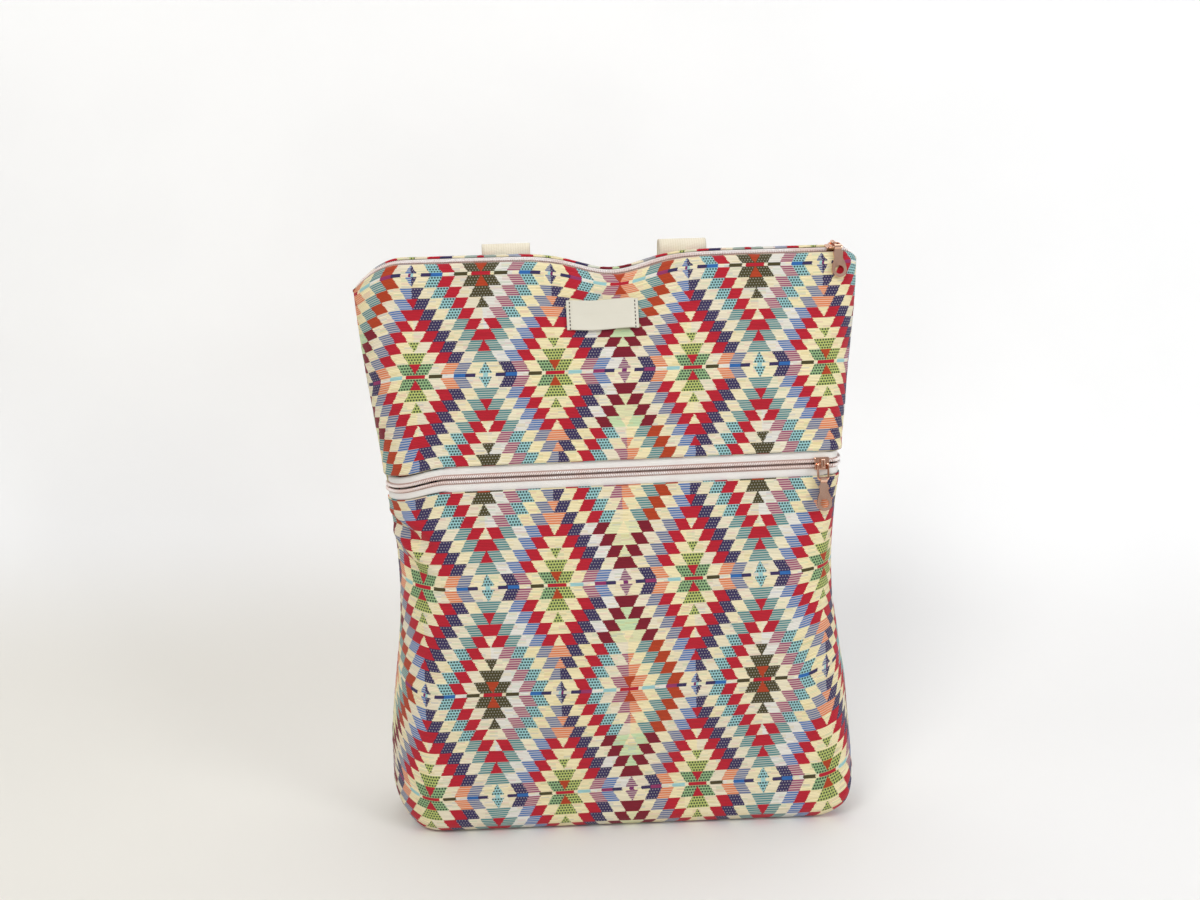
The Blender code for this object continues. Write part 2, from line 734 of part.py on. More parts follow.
def hang(angle):
    """Turns a piece that hangs along -Z outwards, towards -Y, by an angle from straight down."""
    return Matrix.Rotation(-angle, 4, "X")


def make_zip(prefix, frame, sides, slider_x, bail_angle, pull_angle, parts, cutters):
    for side, word in sides:
        make_tape(f"{prefix}_zip_tape_{word}", frame, side, parts)
        make_coil(f"{prefix}_zip_coil_{word}", frame, side, parts)
    place = frame.metal(slider_x)
    make_slider(f"{prefix}_zip_slider", place, parts, cutters)
    upright = Matrix.Rotation(-LEAN, 4, "Y")
    axis = place @ Vector((0, 0, AXIS_Z))
    bail_place = Matrix.Translation(axis) @ upright @ hang(bail_angle)
    make_bail(f"{prefix}_zip_bail", bail_place, parts)
    eye = bail_place @ Vector((0, 0, -BAIL_LENGTH))
    pull_place = Matrix.Translation(eye) @ upright @ hang(pull_angle)
    make_pull(f"{prefix}_zip_pull", pull_place, parts, cutters)


# Label


def make_label(parts):
    columns, rows = 9, 4

    def place(column, row):
        x = LABEL_X + LABEL_WIDTH * (column / (columns - 1) - 0.5)
        z = LABEL_Z + LABEL_HEIGHT * (row / (rows - 1) - 0.5)
        left, right = corner_widths(FRONT, z)
        half = half_width(z)
        turn = 0.25 + 0.5 * (x + half - left) / (2 * half - left - right)
        y = section(FRONT, turn, z)[1] + GAP
        return lean((x, FRONT * y, z))

    sheet("label", "label", [(columns, rows, place)], LABEL_CLOTH, parts, offset=1.0, outwards=Vector((0, -1, 0)))


# Shoulder straps


def back_face(z):
    """The back panel's outer face, at its flat middle."""
    return depth(BACK, z)


def run_direction():
    """Down the straight lower run, in the plane parallel to the back, for the right-hand strap."""
    return Vector((RUN_END_X - RUN_TOP_X, 0, RUN_END_Z - RUN_TOP_Z)).normalized()


def run_plane():
    return BACK_BELLY + RUN_STAND_OFF


def hairpin(bar, along, radius, tail):
    """A band round a bar: up to it, round its far side and back for a length of tail."""
    side = Vector((0, 1, 0))
    arc = [bar + side * radius * math.cos(a) + along * radius * math.sin(a) for a in steps(0, math.pi, 6)]
    return arc + [arc[-1] - along * tail * share for share in (0.5, 1.0)]


def strap_path():
    """The right-hand strap's middle line: sewn to the back, over its fold, down, and round the ring."""
    off = GAP + WEBBING / 2
    flat_y = back_face(RIDGE_Z) + off
    rising = [Vector((STRAP_X, back_face(z) + off, z)) for z in steps(STRAP_SEWN_Z, RIDGE_Z - 0.004, 4)]
    fold_z = STRAP_FOLD_Z - STRAP_FOLD_RADIUS
    rising.append(Vector((STRAP_X, flat_y, RIDGE_Z + 0.004)))
    fold = []
    for angle in steps(0, math.pi, 6):
        y = flat_y + STRAP_FOLD_RADIUS * (1 - math.cos(angle))
        fold.append(Vector((STRAP_X, y, fold_z + STRAP_FOLD_RADIUS * math.sin(angle))))
    start = fold[-1]
    end = Vector((RUN_TOP_X, run_plane(), RUN_TOP_Z))
    free = []
    for share in steps(0, 1, 16)[1:]:
        z = start.z + (end.z - start.z) * share
        sideways = smooth_step(share, 0.05, 1.0)
        x = start.x + (end.x - start.x) * sideways
        y = start.y + (end.y - start.y) * share
        slack = math.sin(math.pi * share ** 0.9) ** 2 * STRAP_SLACK * 0.8
        free.append(Vector((x, y + slack, z)))
    return rising + fold + free + lower_run(end)


def lower_run(start):
    """The straight run through the adjuster, and round the ring's upper bar."""
    along = run_direction()
    ring = Vector((RUN_END_X, run_plane(), RUN_END_Z))
    run = (ring - start).length
    wrap = RING_WIRE + GAP + WEBBING / 2
    middle = (RUN_TOP_Z - ADJUSTER_Z) / -along.z
    weave = ADJUSTER_PLATE / 2 + GAP + WEBBING / 2
    reach = ADJUSTER_BAR / 2 + ADJUSTER_SLOT
    spots = [
        (middle - reach - 0.012, 0.0), (middle - reach - 0.003, weave), (middle - reach + 0.0008, weave),
        (middle - ADJUSTER_BAR / 2 - 0.0008, -weave), (middle + ADJUSTER_BAR / 2 + 0.0008, -weave),
        (middle + reach - 0.0008, weave), (middle + reach + 0.003, weave), (middle + reach + 0.012, wrap * 0.5),
        (run - 0.012, wrap),
    ]
    path = [start + along * distance + Vector((0, lift, 0)) for distance, lift in spots]
    return path + hairpin(ring, along, wrap, LOOP_TAIL)


def tab_path():
    """The tab at the strap's foot: sewn to the back near the base and folded round the ring's lower bar."""
    along = -run_direction()
    bar = Vector((RUN_END_X, run_plane(), RUN_END_Z)) - along * RING_HEIGHT
    wrap = RING_WIRE + GAP + WEBBING / 2
    arc = hairpin(bar, along, wrap, 0.0)[:7]
    near = GAP + WEBBING / 2
    sewn_y = BACK_BELLY + near
    foot = arc[-1] - along * TAB_FREE
    foot.y = sewn_y
    low = foot - along * TAB_SEWN
    outer_y = sewn_y + WEBBING + GAP
    outer_foot = Vector((foot.x, outer_y + 0.0004, foot.z))
    outer_low = Vector((low.x, outer_y, low.z))
    return [outer_low, outer_foot, arc[0] - along * TAB_FREE * 0.3] + arc + [foot, low]


def band(name, path, mirror, parts):
    """Webbing along a path, always as wide as the webbing and level with the path's own slant."""
    columns = (-0.5, 0.0, 0.5)
    slanted = run_direction()
    sideways = []
    for index in range(len(path)):
        before, after = path[max(index - 1, 0)], path[min(index + 1, len(path) - 1)]
        along = after - before
        turned = smooth_step(RUN_TOP_Z + 0.12 - path[index].z, 0.0, 0.12)
        level = Vector((1, 0, 0)) * (1 - turned) + Vector((-slanted.z, 0, slanted.x)) * turned
        level -= along.normalized() * level.dot(along.normalized())
        sideways.append(level.normalized())

    def place(column, row):
        point = path[row] + sideways[row] * columns[column] * WEBBING_WIDTH
        shift = STRAP_SHIFT * smooth_step(path[row].z, RUN_TOP_Z, STRAP_SEWN_Z)
        return lean((point.x * mirror + shift, point.y, point.z))

    sheet(name, "webbing", [(len(columns), len(path), place)], WEBBING, parts)


def run_place(distance, mirror):
    """The place of a piece on the lower run: its Z up along the run, its Y out of the back."""
    along = run_direction()
    start = Vector((RUN_TOP_X, run_plane(), RUN_TOP_Z))
    point = start + along * distance
    slant = math.atan2(along.x, -along.z)
    here = lean((point.x * mirror, point.y, point.z))
    return Matrix.Translation(here) @ Matrix.Rotation(-mirror * slant - LEAN, 4, "Y")


def make_adjuster(name, mirror, parts, cutters):
    """A frame with a bar across its middle, which the strap is threaded over."""
    slot_half = WEBBING_WIDTH / 2 + 0.0012
    half_x = slot_half + ADJUSTER_FRAME
    half_z = ADJUSTER_BAR / 2 + ADJUSTER_SLOT + ADJUSTER_FRAME
    half_y = ADJUSTER_PLATE / 2
    frame = box_mesh((-half_x, -half_y, -half_z), (half_x, half_y, half_z))
    corners = [e for e in frame.edges if abs(e.verts[0].co.y - e.verts[1].co.y) > half_y]
    bmesh.ops.bevel(frame, geom=corners, offset=0.003, affect="EDGES", segments=3, profile=0.5, material=-1)
    obj = mesh_object(name, frame, "metal", parts)
    along = run_direction()
    place = run_place((RUN_TOP_Z - ADJUSTER_Z) / -along.z, mirror)
    for side in (-1, 1):
        low, high = sorted((side * ADJUSTER_BAR / 2, side * (ADJUSTER_BAR / 2 + ADJUSTER_SLOT)))
        slot = box_mesh((-slot_half, -2 * half_y, low), (slot_half, 2 * half_y, high))
        cutter = hide(mesh_object(f"{name}_slot_{side}", slot, None, cutters))
        cutter.matrix_world = place
        cut(obj, cutter)
    obj.matrix_world = place


def make_ring(name, mirror, parts):
    """A rectangular wire ring between the strap's end and the tab."""
    half_x = WEBBING_WIDTH / 2 + RING_WIRE + 0.0015
    corner = 0.004
    points = []
    centres = [
        (half_x - corner, -corner, 90), (half_x - corner, -RING_HEIGHT + corner, 0),
        (-half_x + corner, -RING_HEIGHT + corner, -90), (-half_x + corner, -corner, -180),
    ]
    for x, z, start in centres:
        for turn in (0, 30, 60, 90):
            angle = math.radians(start - turn)
            points.append(Vector((x + corner * math.cos(angle), 0, z + corner * math.sin(angle))))
    obj = tube(name, "metal", points, RING_WIRE, parts, closed=True)
    run = (Vector((RUN_END_X, 0, RUN_END_Z)) - Vector((RUN_TOP_X, 0, RUN_TOP_Z))).length
    obj.matrix_world = run_place(run, mirror)


def make_straps(parts, cutters):
    for word, mirror in (("left", -1), ("right", 1)):
        band(f"strap_{word}", strap_path(), mirror, parts)
        band(f"strap_tab_{word}", tab_path(), mirror, parts)
        make_adjuster(f"strap_adjuster_{word}", mirror, parts, cutters)
        make_ring(f"strap_ring_{word}", mirror, parts)


def main():
    clear_scene()
    parts = new_collection("backpack")
    cutters = new_collection("cutters")
    make_panels(parts)
    make_main_lining(parts)
    make_pocket_lining(parts)
    top, pocket = zip_frames()
    top_sides = ((FRONT, "front"), (BACK, "back"))
    make_zip("top", top, top_sides, TOP_SLIDER_X, TOP_BAIL_ANGLE, TOP_PULL_ANGLE, parts, cutters)
    wall_angle = math.pi / 2 - pocket.tilt
    pull_angle = wall_angle + POCKET_PULL_LIFT
    pocket_sides = ((1, "upper"), (-1, "lower"))
    make_zip("pocket", pocket, pocket_sides, POCKET_SLIDER_X, wall_angle, pull_angle, parts, cutters)
    make_label(parts)
    make_straps(parts, cutters)


main()
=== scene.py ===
# The looks of the patterned backpack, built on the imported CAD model. Metres, +Z up, the front faces -Y.
# The form functions repeat those of part.py, so that the fine cloth lies in the space of its CAD solids.

import json
import math

import bmesh
import bpy
from mathutils import Matrix, Vector, noise

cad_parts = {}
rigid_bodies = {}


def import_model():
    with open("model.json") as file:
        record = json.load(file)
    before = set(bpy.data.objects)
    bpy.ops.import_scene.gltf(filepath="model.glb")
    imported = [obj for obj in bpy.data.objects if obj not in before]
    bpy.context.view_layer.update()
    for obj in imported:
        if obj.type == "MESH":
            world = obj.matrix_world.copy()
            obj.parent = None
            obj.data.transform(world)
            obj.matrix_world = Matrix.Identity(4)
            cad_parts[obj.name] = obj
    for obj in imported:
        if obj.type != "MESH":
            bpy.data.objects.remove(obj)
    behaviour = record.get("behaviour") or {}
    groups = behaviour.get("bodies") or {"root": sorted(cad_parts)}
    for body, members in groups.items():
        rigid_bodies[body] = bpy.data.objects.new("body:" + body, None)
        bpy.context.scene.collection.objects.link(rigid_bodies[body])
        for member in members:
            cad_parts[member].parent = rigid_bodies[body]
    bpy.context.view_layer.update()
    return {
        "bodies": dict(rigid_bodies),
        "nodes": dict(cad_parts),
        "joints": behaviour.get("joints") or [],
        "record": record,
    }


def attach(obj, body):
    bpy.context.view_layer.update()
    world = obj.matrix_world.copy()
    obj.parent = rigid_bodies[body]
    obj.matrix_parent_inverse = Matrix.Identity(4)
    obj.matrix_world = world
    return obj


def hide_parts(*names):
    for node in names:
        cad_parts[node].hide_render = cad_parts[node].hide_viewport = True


# The bag's form, with part.py's names and values
RIDGE_Z = 0.426
TOP_WIDTH = 0.373
WAIST_WIDTH = 0.331
WAIST_Z = 0.190
BASE_WIDTH = 0.358
BASE_WIDTH_Z = 0.050
FRONT_BELLY = 0.050
BACK_BELLY = 0.040
BELLY_Z = 0.100
UPPER_BULGE = 0.005
LOWER_BULGE = 0.005
CORNER_LEFT = 0.042
CORNER_RIGHT = 0.014
CORNER_SWELL = 0.016
CORNER_BACK = 0.035
BASE_CORNER = 0.036
BASE_EDGE = 0.014
TOP_DROP_LEFT, TOP_DROP_LEFT_RUN = 0.020, 0.036
TOP_DROP_RIGHT, TOP_DROP_RIGHT_RUN = 0.007, 0.011
LEAN = math.radians(1.8)
LEAN_Z = 0.036
CENTRE_X = 0.0101
SEAM_Y = -0.0065
CLOTH = 0.0015
GAP = 0.0003
POCKET_Z = 0.272
TOP_TILT = math.radians(18)
TAPE = 0.0006
COIL_RADIUS = 0.00105
COIL_SLIT = 0.0016
TAPE_SHOWN = 0.0060
TAPE_LAP = 0.0016
TAPE_GAP = 0.0008
TOP_ZIP_SHORT = 0.0040
POCKET_ZIP_END = 0.04
RIDGE_RADIUS = 0.005
RIDGE_LAP = 0.0010
LABEL_WIDTH, LABEL_HEIGHT, LABEL_CLOTH = 0.052, 0.021, 0.0008
LABEL_Z = 0.3860
LABEL_X = -0.0070
WEBBING_WIDTH, WEBBING = 0.036, 0.0018
STRAP_X = 0.0665
STRAP_SHIFT = -0.0080
STRAP_SEWN_Z = 0.372
STRAP_FOLD_Z = 0.4385
STRAP_FOLD_RADIUS = 0.0055
STRAP_SLACK = 0.036
RUN_TOP_X, RUN_TOP_Z = 0.098, 0.205
RUN_END_X, RUN_END_Z = 0.133, 0.072
RUN_STAND_OFF = 0.009
ADJUSTER_Z = 0.150
ADJUSTER_PLATE = 0.0020
ADJUSTER_SLOT, ADJUSTER_BAR = 0.0068, 0.0034
RING_WIRE = 0.0015
RING_HEIGHT = 0.016
LOOP_TAIL = 0.020
TAB_FREE, TAB_SEWN = 0.014, 0.012

COIL_Z = TAPE / 2 + GAP + COIL_RADIUS
CLOTH_EDGE = COIL_SLIT / 2 + 2 * COIL_RADIUS + TAPE_SHOWN
TAPE_OUTER = CLOTH_EDGE + TAPE_LAP
CLOTH_FACE = TAPE / 2 + GAP + CLOTH
POCKET_SPAN = RIDGE_Z - POCKET_Z
FRONT, BACK = -1, 1

# The cloth's pattern, in metres on the cloth: columns of diamonds, and rows of picks
COLUMN = 0.050
CELL = 0.0091
UPPER_PERIOD, LOWER_PERIOD = 0.0745, 0.0800
AXIS_ROW = 0.0013
PICK_ROWS = 9
PICKS = 7
UPPER_B, LOWER_B = 0.007, 0.002  # a purple diamond's column, from the cloth's middle
WEFT = 0.00113
SPOT_PITCH = 0.0021

PALETTE = {
    "c": "EADFC4", "y": "F2E4B6", "w": "E6E2D8", "r": "B81D2E", "d": "7E1A2A", "k": "943463", "p": "7A2A66",
    "n": "3A3158", "b": "2F69AE", "g": "52648F", "t": "9CCBCB", "T": "2B7E84", "m": "C9DDAE", "e": "BAC570",
    "s": "96B884", "o": "4A4428", "O": "E0743A", "R": "B3401F",
}
# One letter for each ring of cells, 0 to 10, from the middle of one diamond to the middle of the next: on its axis,
# up to half way and beyond. The four halves follow each other across the cloth, from a purple diamond's middle.
RINGS = (
    ("rsyOncpmyOr", "reyrgcdmycO", "reyrbcRTyOR"),
    ("rscOgctdcoO", "recrncTrcoO", "rycrnctrcoR"),
    ("RsyknctdcoO", "oeyrbwTrwoO", "rycOgytkwoR"),
    ("Reykbwpmwkr", "oeyrnwdmykO", "rycOnyrtckR"),
)
# How a colour is woven, kept as its alpha
DARK_DOTS, PALE_DOTS, PALE_LINES = 0.2, 0.4, 0.6
WEAVES = {c: PALE_LINES for c in "pkgbTO"} | {c: DARK_DOTS for c in "ste"} | {c: PALE_DOTS for c in "no"}
# Each dot's weave, how far it reaches (all gone, then full), how strong it is, and its colour
DOTS = ((DARK_DOTS, 0.41, 0.29, 0.92, "20302E"), (PALE_DOTS, 0.27, 0.16, 0.42, "D5CFC4"))
DOT_ROWS, LINE_ROWS = 4.0, 5.0  # in a row of cells
LINE_COLOUR, LINE_STRENGTH = "EADFC8", 0.52
# The bars on a diamond's axis: where each starts, in cells from the middle. The next diamond has some others.
AXIS_BARS = ((0, "r"), (0.75, "c"), (1.05, "t"), (2.1, "w"), (3.0, "k"), (3.9, "n"), (4.7, "c"), (5.3, "p"))
NEXT_BARS = {"t": "o", "k": "b", "p": "t"}
FLECKS = ((0.0, "D8C27A"), (0.35, "A9C7A0"), (0.6, "D9A0A0"), (0.85, "9AA6C0"))
FLECK_LENGTH = 0.006
EDGE_WANDER = 0.0007  # how unevenly the wefts end at a cell's edge
WARP = 0.00075


def smooth_step(value, low, high):
    part = min(max((value - low) / (high - low), 0.0), 1.0)
    return part * part * (3 - 2 * part)


def half_width(z):
    if z < WAIST_Z:
        share = smooth_step(z, BASE_WIDTH_Z, WAIST_Z)
        return (BASE_WIDTH + (WAIST_WIDTH - BASE_WIDTH) * share) / 2
    share = smooth_step(z, WAIST_Z, RIDGE_Z)
    return (WAIST_WIDTH + (TOP_WIDTH - WAIST_WIDTH) * share) / 2


def ridge_turn(side):
    across, out = CLOTH_EDGE + RIDGE_LAP, CLOTH_FACE - RIDGE_RADIUS
    y = side * across * math.cos(TOP_TILT) - out * math.sin(TOP_TILT)
    z = RIDGE_Z + side * across * math.sin(TOP_TILT) + out * math.cos(TOP_TILT)
    return abs(y), z


def depth(side, z):
    top = ridge_turn(side)[0] + RIDGE_RADIUS
    belly = FRONT_BELLY if side == FRONT else BACK_BELLY
    part = min(max((z - BELLY_Z) / (RIDGE_Z - BELLY_Z), 0.0), 1.0)
    return top + (belly - top) * math.cos(part * math.pi / 2)


def between_zips(z):
    part = z / POCKET_Z if z < POCKET_Z else (z - POCKET_Z) / POCKET_SPAN
    return math.sin(math.pi * min(max(part, 0.0), 1.0)) ** 2


def corner_widths(side, z):
    if side == BACK:
        return CORNER_BACK, CORNER_BACK
    return CORNER_LEFT, CORNER_RIGHT + CORNER_SWELL * between_zips(z)


def section(side, turn, z):
    """A point of the bag's wall seen from above: turn runs 0 to 1 from the left seam to the right one."""
    left, right = corner_widths(side, z)
    half, deep = half_width(z), depth(side, z)
    if turn < 0.25:
        angle = turn * 2 * math.pi
        return -half + left - left * math.cos(angle), deep * math.sin(angle)
    if turn > 0.75:
        angle = (1 - turn) * 2 * math.pi
        return half - right + right * math.cos(angle), deep * math.sin(angle)
    x = -half + left + (2 * half - left - right) * (turn - 0.25) * 2
    if side == FRONT:
        size = LOWER_BULGE if z < POCKET_Z else UPPER_BULGE
        deep += size * between_zips(z) * math.sin(math.pi * (turn - 0.25) * 2) ** 2
    return x, deep


def base_lift(x):
    reach = max(abs(x) - (BASE_WIDTH / 2 - BASE_CORNER), 0.0)
    return BASE_CORNER - math.sqrt(max(BASE_CORNER**2 - reach**2, 0.0))


def top_drop(x):
    half = TOP_WIDTH / 2
    drop, run = (TOP_DROP_LEFT, TOP_DROP_LEFT_RUN) if x < 0 else (TOP_DROP_RIGHT, TOP_DROP_RIGHT_RUN)
    part = min(max((abs(x) - half + run) / run, 0.0), 1.0)
    return drop * part * part


def lean(point):
    x, y, z = point
    shift = z * z / (2 * LEAN_Z) if z < LEAN_Z else z - LEAN_Z / 2
    rise = x * min(max(z / LEAN_Z, 0.0), 1.0)
    slope = math.tan(LEAN)
    return Vector((x - slope * shift + CENTRE_X, y + SEAM_Y, z + slope * rise))


def steps(first, last, count):
    return [first + (last - first) * i / count for i in range(count + 1)]


# Softness: what the simple CAD solids leave out

DIP, DIP_X, DIP_WIDTH = 0.0115, 0.003, 0.034  # the empty top sinks a little between the straps
DIP_REACH = 0.070
DROOP = 0.0075  # the pocket's zip hangs at its left end, beyond its slider's way
DROOP_START, DROOP_END = 0.124, 0.166
DROOP_REACH = 0.035
SEAM_REACH = 0.004
PANEL_SHELL = 0.0013


def droop(x):
    return DROOP * smooth_step(-x, DROOP_START, DROOP_END)


def dip(x, z):
    """How far the empty bag's top has sunk."""
    return DIP * math.exp(-(((x - DIP_X) / DIP_WIDTH) ** 2)) * smooth_step(z, RIDGE_Z - DIP_REACH, RIDGE_Z)


def crease(x, z, start, end, width, height):
    """A soft fold or valley along a line on the cloth, in the upright bag's x and z."""
    point, start, end = Vector((x, z)), Vector(start), Vector(end)
    along = end - start
    share = min(max((point - start).dot(along) / along.length_squared, 0.0), 1.0)
    away = (point - start - along * share).length / width
    fade = 0.35 + 0.65 * math.sin(math.pi * (0.15 + 0.7 * share))
    return height * fade * math.exp(-away * away)


def wrinkle(x, z, seed, size=0.05):
    return noise.noise(Vector((x / size, seed, z / size)))


def pucker(x, seed):
    """The small gathers that a seam pulls into the cloth beside it."""
    return 0.6 * noise.noise(Vector((x / 0.0045, seed, 0.0))) + 0.4 * noise.noise(Vector((x / 0.011, seed, 3.0)))


# Building blocks


def add_object(name, mesh, material, body="bag"):
    data = bpy.data.meshes.new(name)
    mesh.to_mesh(data)
    mesh.free()
    data.materials.append(material)
    data.shade_smooth()
    obj = bpy.data.objects.new(name, data)
    bpy.context.scene.collection.objects.link(obj)
    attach(obj, body)
    return obj


def grid_mesh(places, uvs):
    """A grid of points, rows of columns, with a UV map in metres."""
    mesh = bmesh.new()
    rows, columns = len(places), len(places[0])
    made = bmesh.ops.create_grid(mesh, x_segments=columns - 1, y_segments=rows - 1, size=0.5)["verts"]
    spots = {}
    for vertex in made:
        spot = (round((vertex.co.y + 0.5) * (rows - 1)), round((vertex.co.x + 0.5) * (columns - 1)))
        spots[vertex] = spot
    for vertex, (row, column) in spots.items():
        vertex.co = places[row][column]
    layer = mesh.loops.layers.uv.new("metres")
    for face in mesh.faces:
        for loop in face.loops:
            row, column = spots[loop.vert]
            loop[layer].uv = uvs[row][column]
    return mesh


def solidify(obj, thickness, offset=-1.0):
    shell = obj.modifiers.new("thickness", "SOLIDIFY")
    shell.thickness = thickness
    shell.offset = offset
    return obj


def arc_lengths(points, zero):
    """Each point's distance along the line, from the point with index zero."""
    total, found = 0.0, [0.0]
    for before, after in zip(points, points[1:]):
        total += (after - before).length
        found.append(total)
    return [value - found[zero] for value in found]


# Materials


class Shader:
    """Short ways to add nodes to one tree. Any value may be a number, a colour or another node's output."""

    def __init__(self, tree):
        self.tree = tree

    def node(self, kind, **settings):
        made = self.tree.nodes.new(kind)
        for key, value in settings.items():
            setattr(made, key, value)
        return made

    def join(self, socket, value):
        if isinstance(value, bpy.types.NodeSocket):
            self.tree.links.new(value, socket)
        else:
            socket.default_value = value

    def math(self, operation, *values):
        made = self.node("ShaderNodeMath", operation=operation)
        for socket, value in zip(made.inputs, values):
            self.join(socket, value)
        return made.outputs[0]

    def mix(self, share, first, second):
        made = self.node("ShaderNodeMix", data_type="RGBA")
        self.join(made.inputs[0], share)
        self.join(made.inputs[6], first)
        self.join(made.inputs[7], second)
        return made.outputs[2]

    def ramp(self, value, stops, interpolation="LINEAR"):
        made = self.node("ShaderNodeValToRGB")
        ramp = made.color_ramp
        ramp.interpolation = interpolation
        while len(ramp.elements) < len(stops):
            ramp.elements.new(1.0)
        for element, (place, colour) in zip(ramp.elements, stops):
            element.position = place
            element.color = colour
        self.join(made.inputs[0], value)
        return made

    def noise(self, vector, scale, detail=2.0):
        made = self.node("ShaderNodeTexNoise")
        self.join(made.inputs["Vector"], vector)
        made.inputs["Scale"].default_value = scale
        made.inputs["Detail"].default_value = detail
        return made.outputs["Fac"]

    def random(self, *values):
        """An even random number from 0 to 1 for each set of whole numbers."""
        packed = self.node("ShaderNodeCombineXYZ")
        for socket, value in zip(packed.inputs, values):
            self.join(socket, value)
        made = self.node("ShaderNodeTexWhiteNoise", noise_dimensions="3D")
        self.join(made.inputs["Vector"], packed.outputs[0])
        return made.outputs["Value"]

    def blend(self, value, low, high, low_out=0.0, high_out=1.0, kind="SMOOTHSTEP"):
        made = self.node("ShaderNodeMapRange", interpolation_type=kind)
        for socket, each in zip(made.inputs, (value, low, high, low_out, high_out)):
            self.join(socket, each)
        return made.outputs[0]

    def choose(self, share, first, second):
        made = self.node("ShaderNodeMix", data_type="FLOAT")
        for socket, value in zip((made.inputs[0], made.inputs[2], made.inputs[3]), (share, first, second)):
            self.join(socket, value)
        return made.outputs[0]

    def brightness(self, colour):
        made = self.node("ShaderNodeRGBToBW")
        self.join(made.inputs[0], colour)
        return made.outputs[0]

    def metres(self):
        """The cloth's own coordinates, in metres."""
        uv = self.node("ShaderNodeUVMap", uv_map="metres")
        apart = self.node("ShaderNodeSeparateXYZ")
        self.join(apart.inputs[0], uv.outputs[0])
        return apart.outputs[0], apart.outputs[1]


def srgb(code, alpha=1.0):
    parts = [int(code[i : i + 2], 16) / 255 for i in (0, 2, 4)]
    return (*[p / 12.92 if p <= 0.04045 else ((p + 0.055) / 1.055) ** 2.4 for p in parts], alpha)


def new_material(name, roughness, metallic=0.0):
    material = bpy.data.materials.new(name)
    material.use_nodes = True
    shader = material.node_tree.nodes["Principled BSDF"]
    shader.inputs["Roughness"].default_value = roughness
    shader.inputs["Metallic"].default_value = metallic
    return material, Shader(material.node_tree), shader


def add_bump(s, shader, height, distance, strength=1.0):
    bump = s.node("ShaderNodeBump")
    bump.inputs["Strength"].default_value = strength
    bump.inputs["Distance"].default_value = distance
    s.join(bump.inputs["Height"], height)
    s.join(shader.inputs["Normal"], bump.outputs[0])


def ring_ramp(s, ring, letters):
    count = len(letters)
    stops = [(i / count, srgb(PALETTE[c], WEAVES.get(c, 0.0))) for i, c in enumerate(letters)]
    return s.ramp(s.math("DIVIDE", s.math("ADD", ring, 0.5), float(count)), stops, "CONSTANT")


def cloth_cells(s, across, up, column, period):
    """A point's weft, its place in the diamonds, and its row and ring of cells."""
    weft = s.math("FLOOR", s.math("DIVIDE", up, WEFT))
    wander = s.math("MULTIPLY", s.math("SUBTRACT", s.random(weft, 7.0, 0.0), 0.5), EDGE_WANDER)
    shifted = s.math("ADD", s.math("SUBTRACT", across, column), wander)
    diamond = s.math("FLOOR", s.math("ADD", s.math("DIVIDE", shifted, 2 * COLUMN), 0.5))
    cells = s.math("DIVIDE", s.math("SUBTRACT", COLUMN, s.math("PINGPONG", shifted, COLUMN)), CELL)
    high = s.math("PINGPONG", s.math("SUBTRACT", up, period), period)
    tall = s.math("DIVIDE", s.math("SUBTRACT", period, 2 * AXIS_ROW), float(PICK_ROWS))
    rows = s.math("DIVIDE", s.math("SUBTRACT", high, AXIS_ROW), tall)
    row = s.math("MINIMUM", s.math("MAXIMUM", s.math("ADD", s.math("FLOOR", rows), 1.0), 1.0), float(PICK_ROWS))
    part = s.math("DIVIDE", s.math("FLOOR", s.math("MULTIPLY", s.math("FRACT", rows), float(PICKS))), float(PICKS))
    even = s.math("SUBTRACT", 1.0, s.math("MODULO", row, 2.0))
    slanted = s.math("SUBTRACT", cells, s.math("MULTIPLY", s.math("ADD", part, even), 0.5))
    ring = s.math("ADD", s.math("CEIL", slanted), s.math("FLOOR", s.math("DIVIDE", row, 2.0)))
    return weft, shifted, diamond, cells, rows, row, ring


def ring_colours(s, shifted, row, ring):
    """A cell's colour and weave, from the letters of its half diamond and its group of rows."""
    half_index = s.math("FLOORED_MODULO", s.math("FLOOR", s.math("DIVIDE", shifted, COLUMN)), float(len(RINGS)))
    tests = [s.math("GREATER_THAN", row, last_row + 0.5) for last_row in (1, 5)]
    colour = weave = None
    for number, letters in enumerate(RINGS):
        ramps = [ring_ramp(s, ring, each) for each in letters]
        half_colour, half_weave = ramps[0].outputs[0], ramps[0].outputs[1]
        for test, later in zip(tests, ramps[1:]):
            half_colour = s.mix(test, half_colour, later.outputs[0])
            half_weave = s.choose(test, half_weave, later.outputs[1])
        if colour is None:
            colour, weave = half_colour, half_weave
        else:
            chosen = s.math("COMPARE", half_index, float(number), 0.5)
            colour, weave = s.mix(chosen, colour, half_colour), s.choose(chosen, weave, half_weave)
    return colour, weave


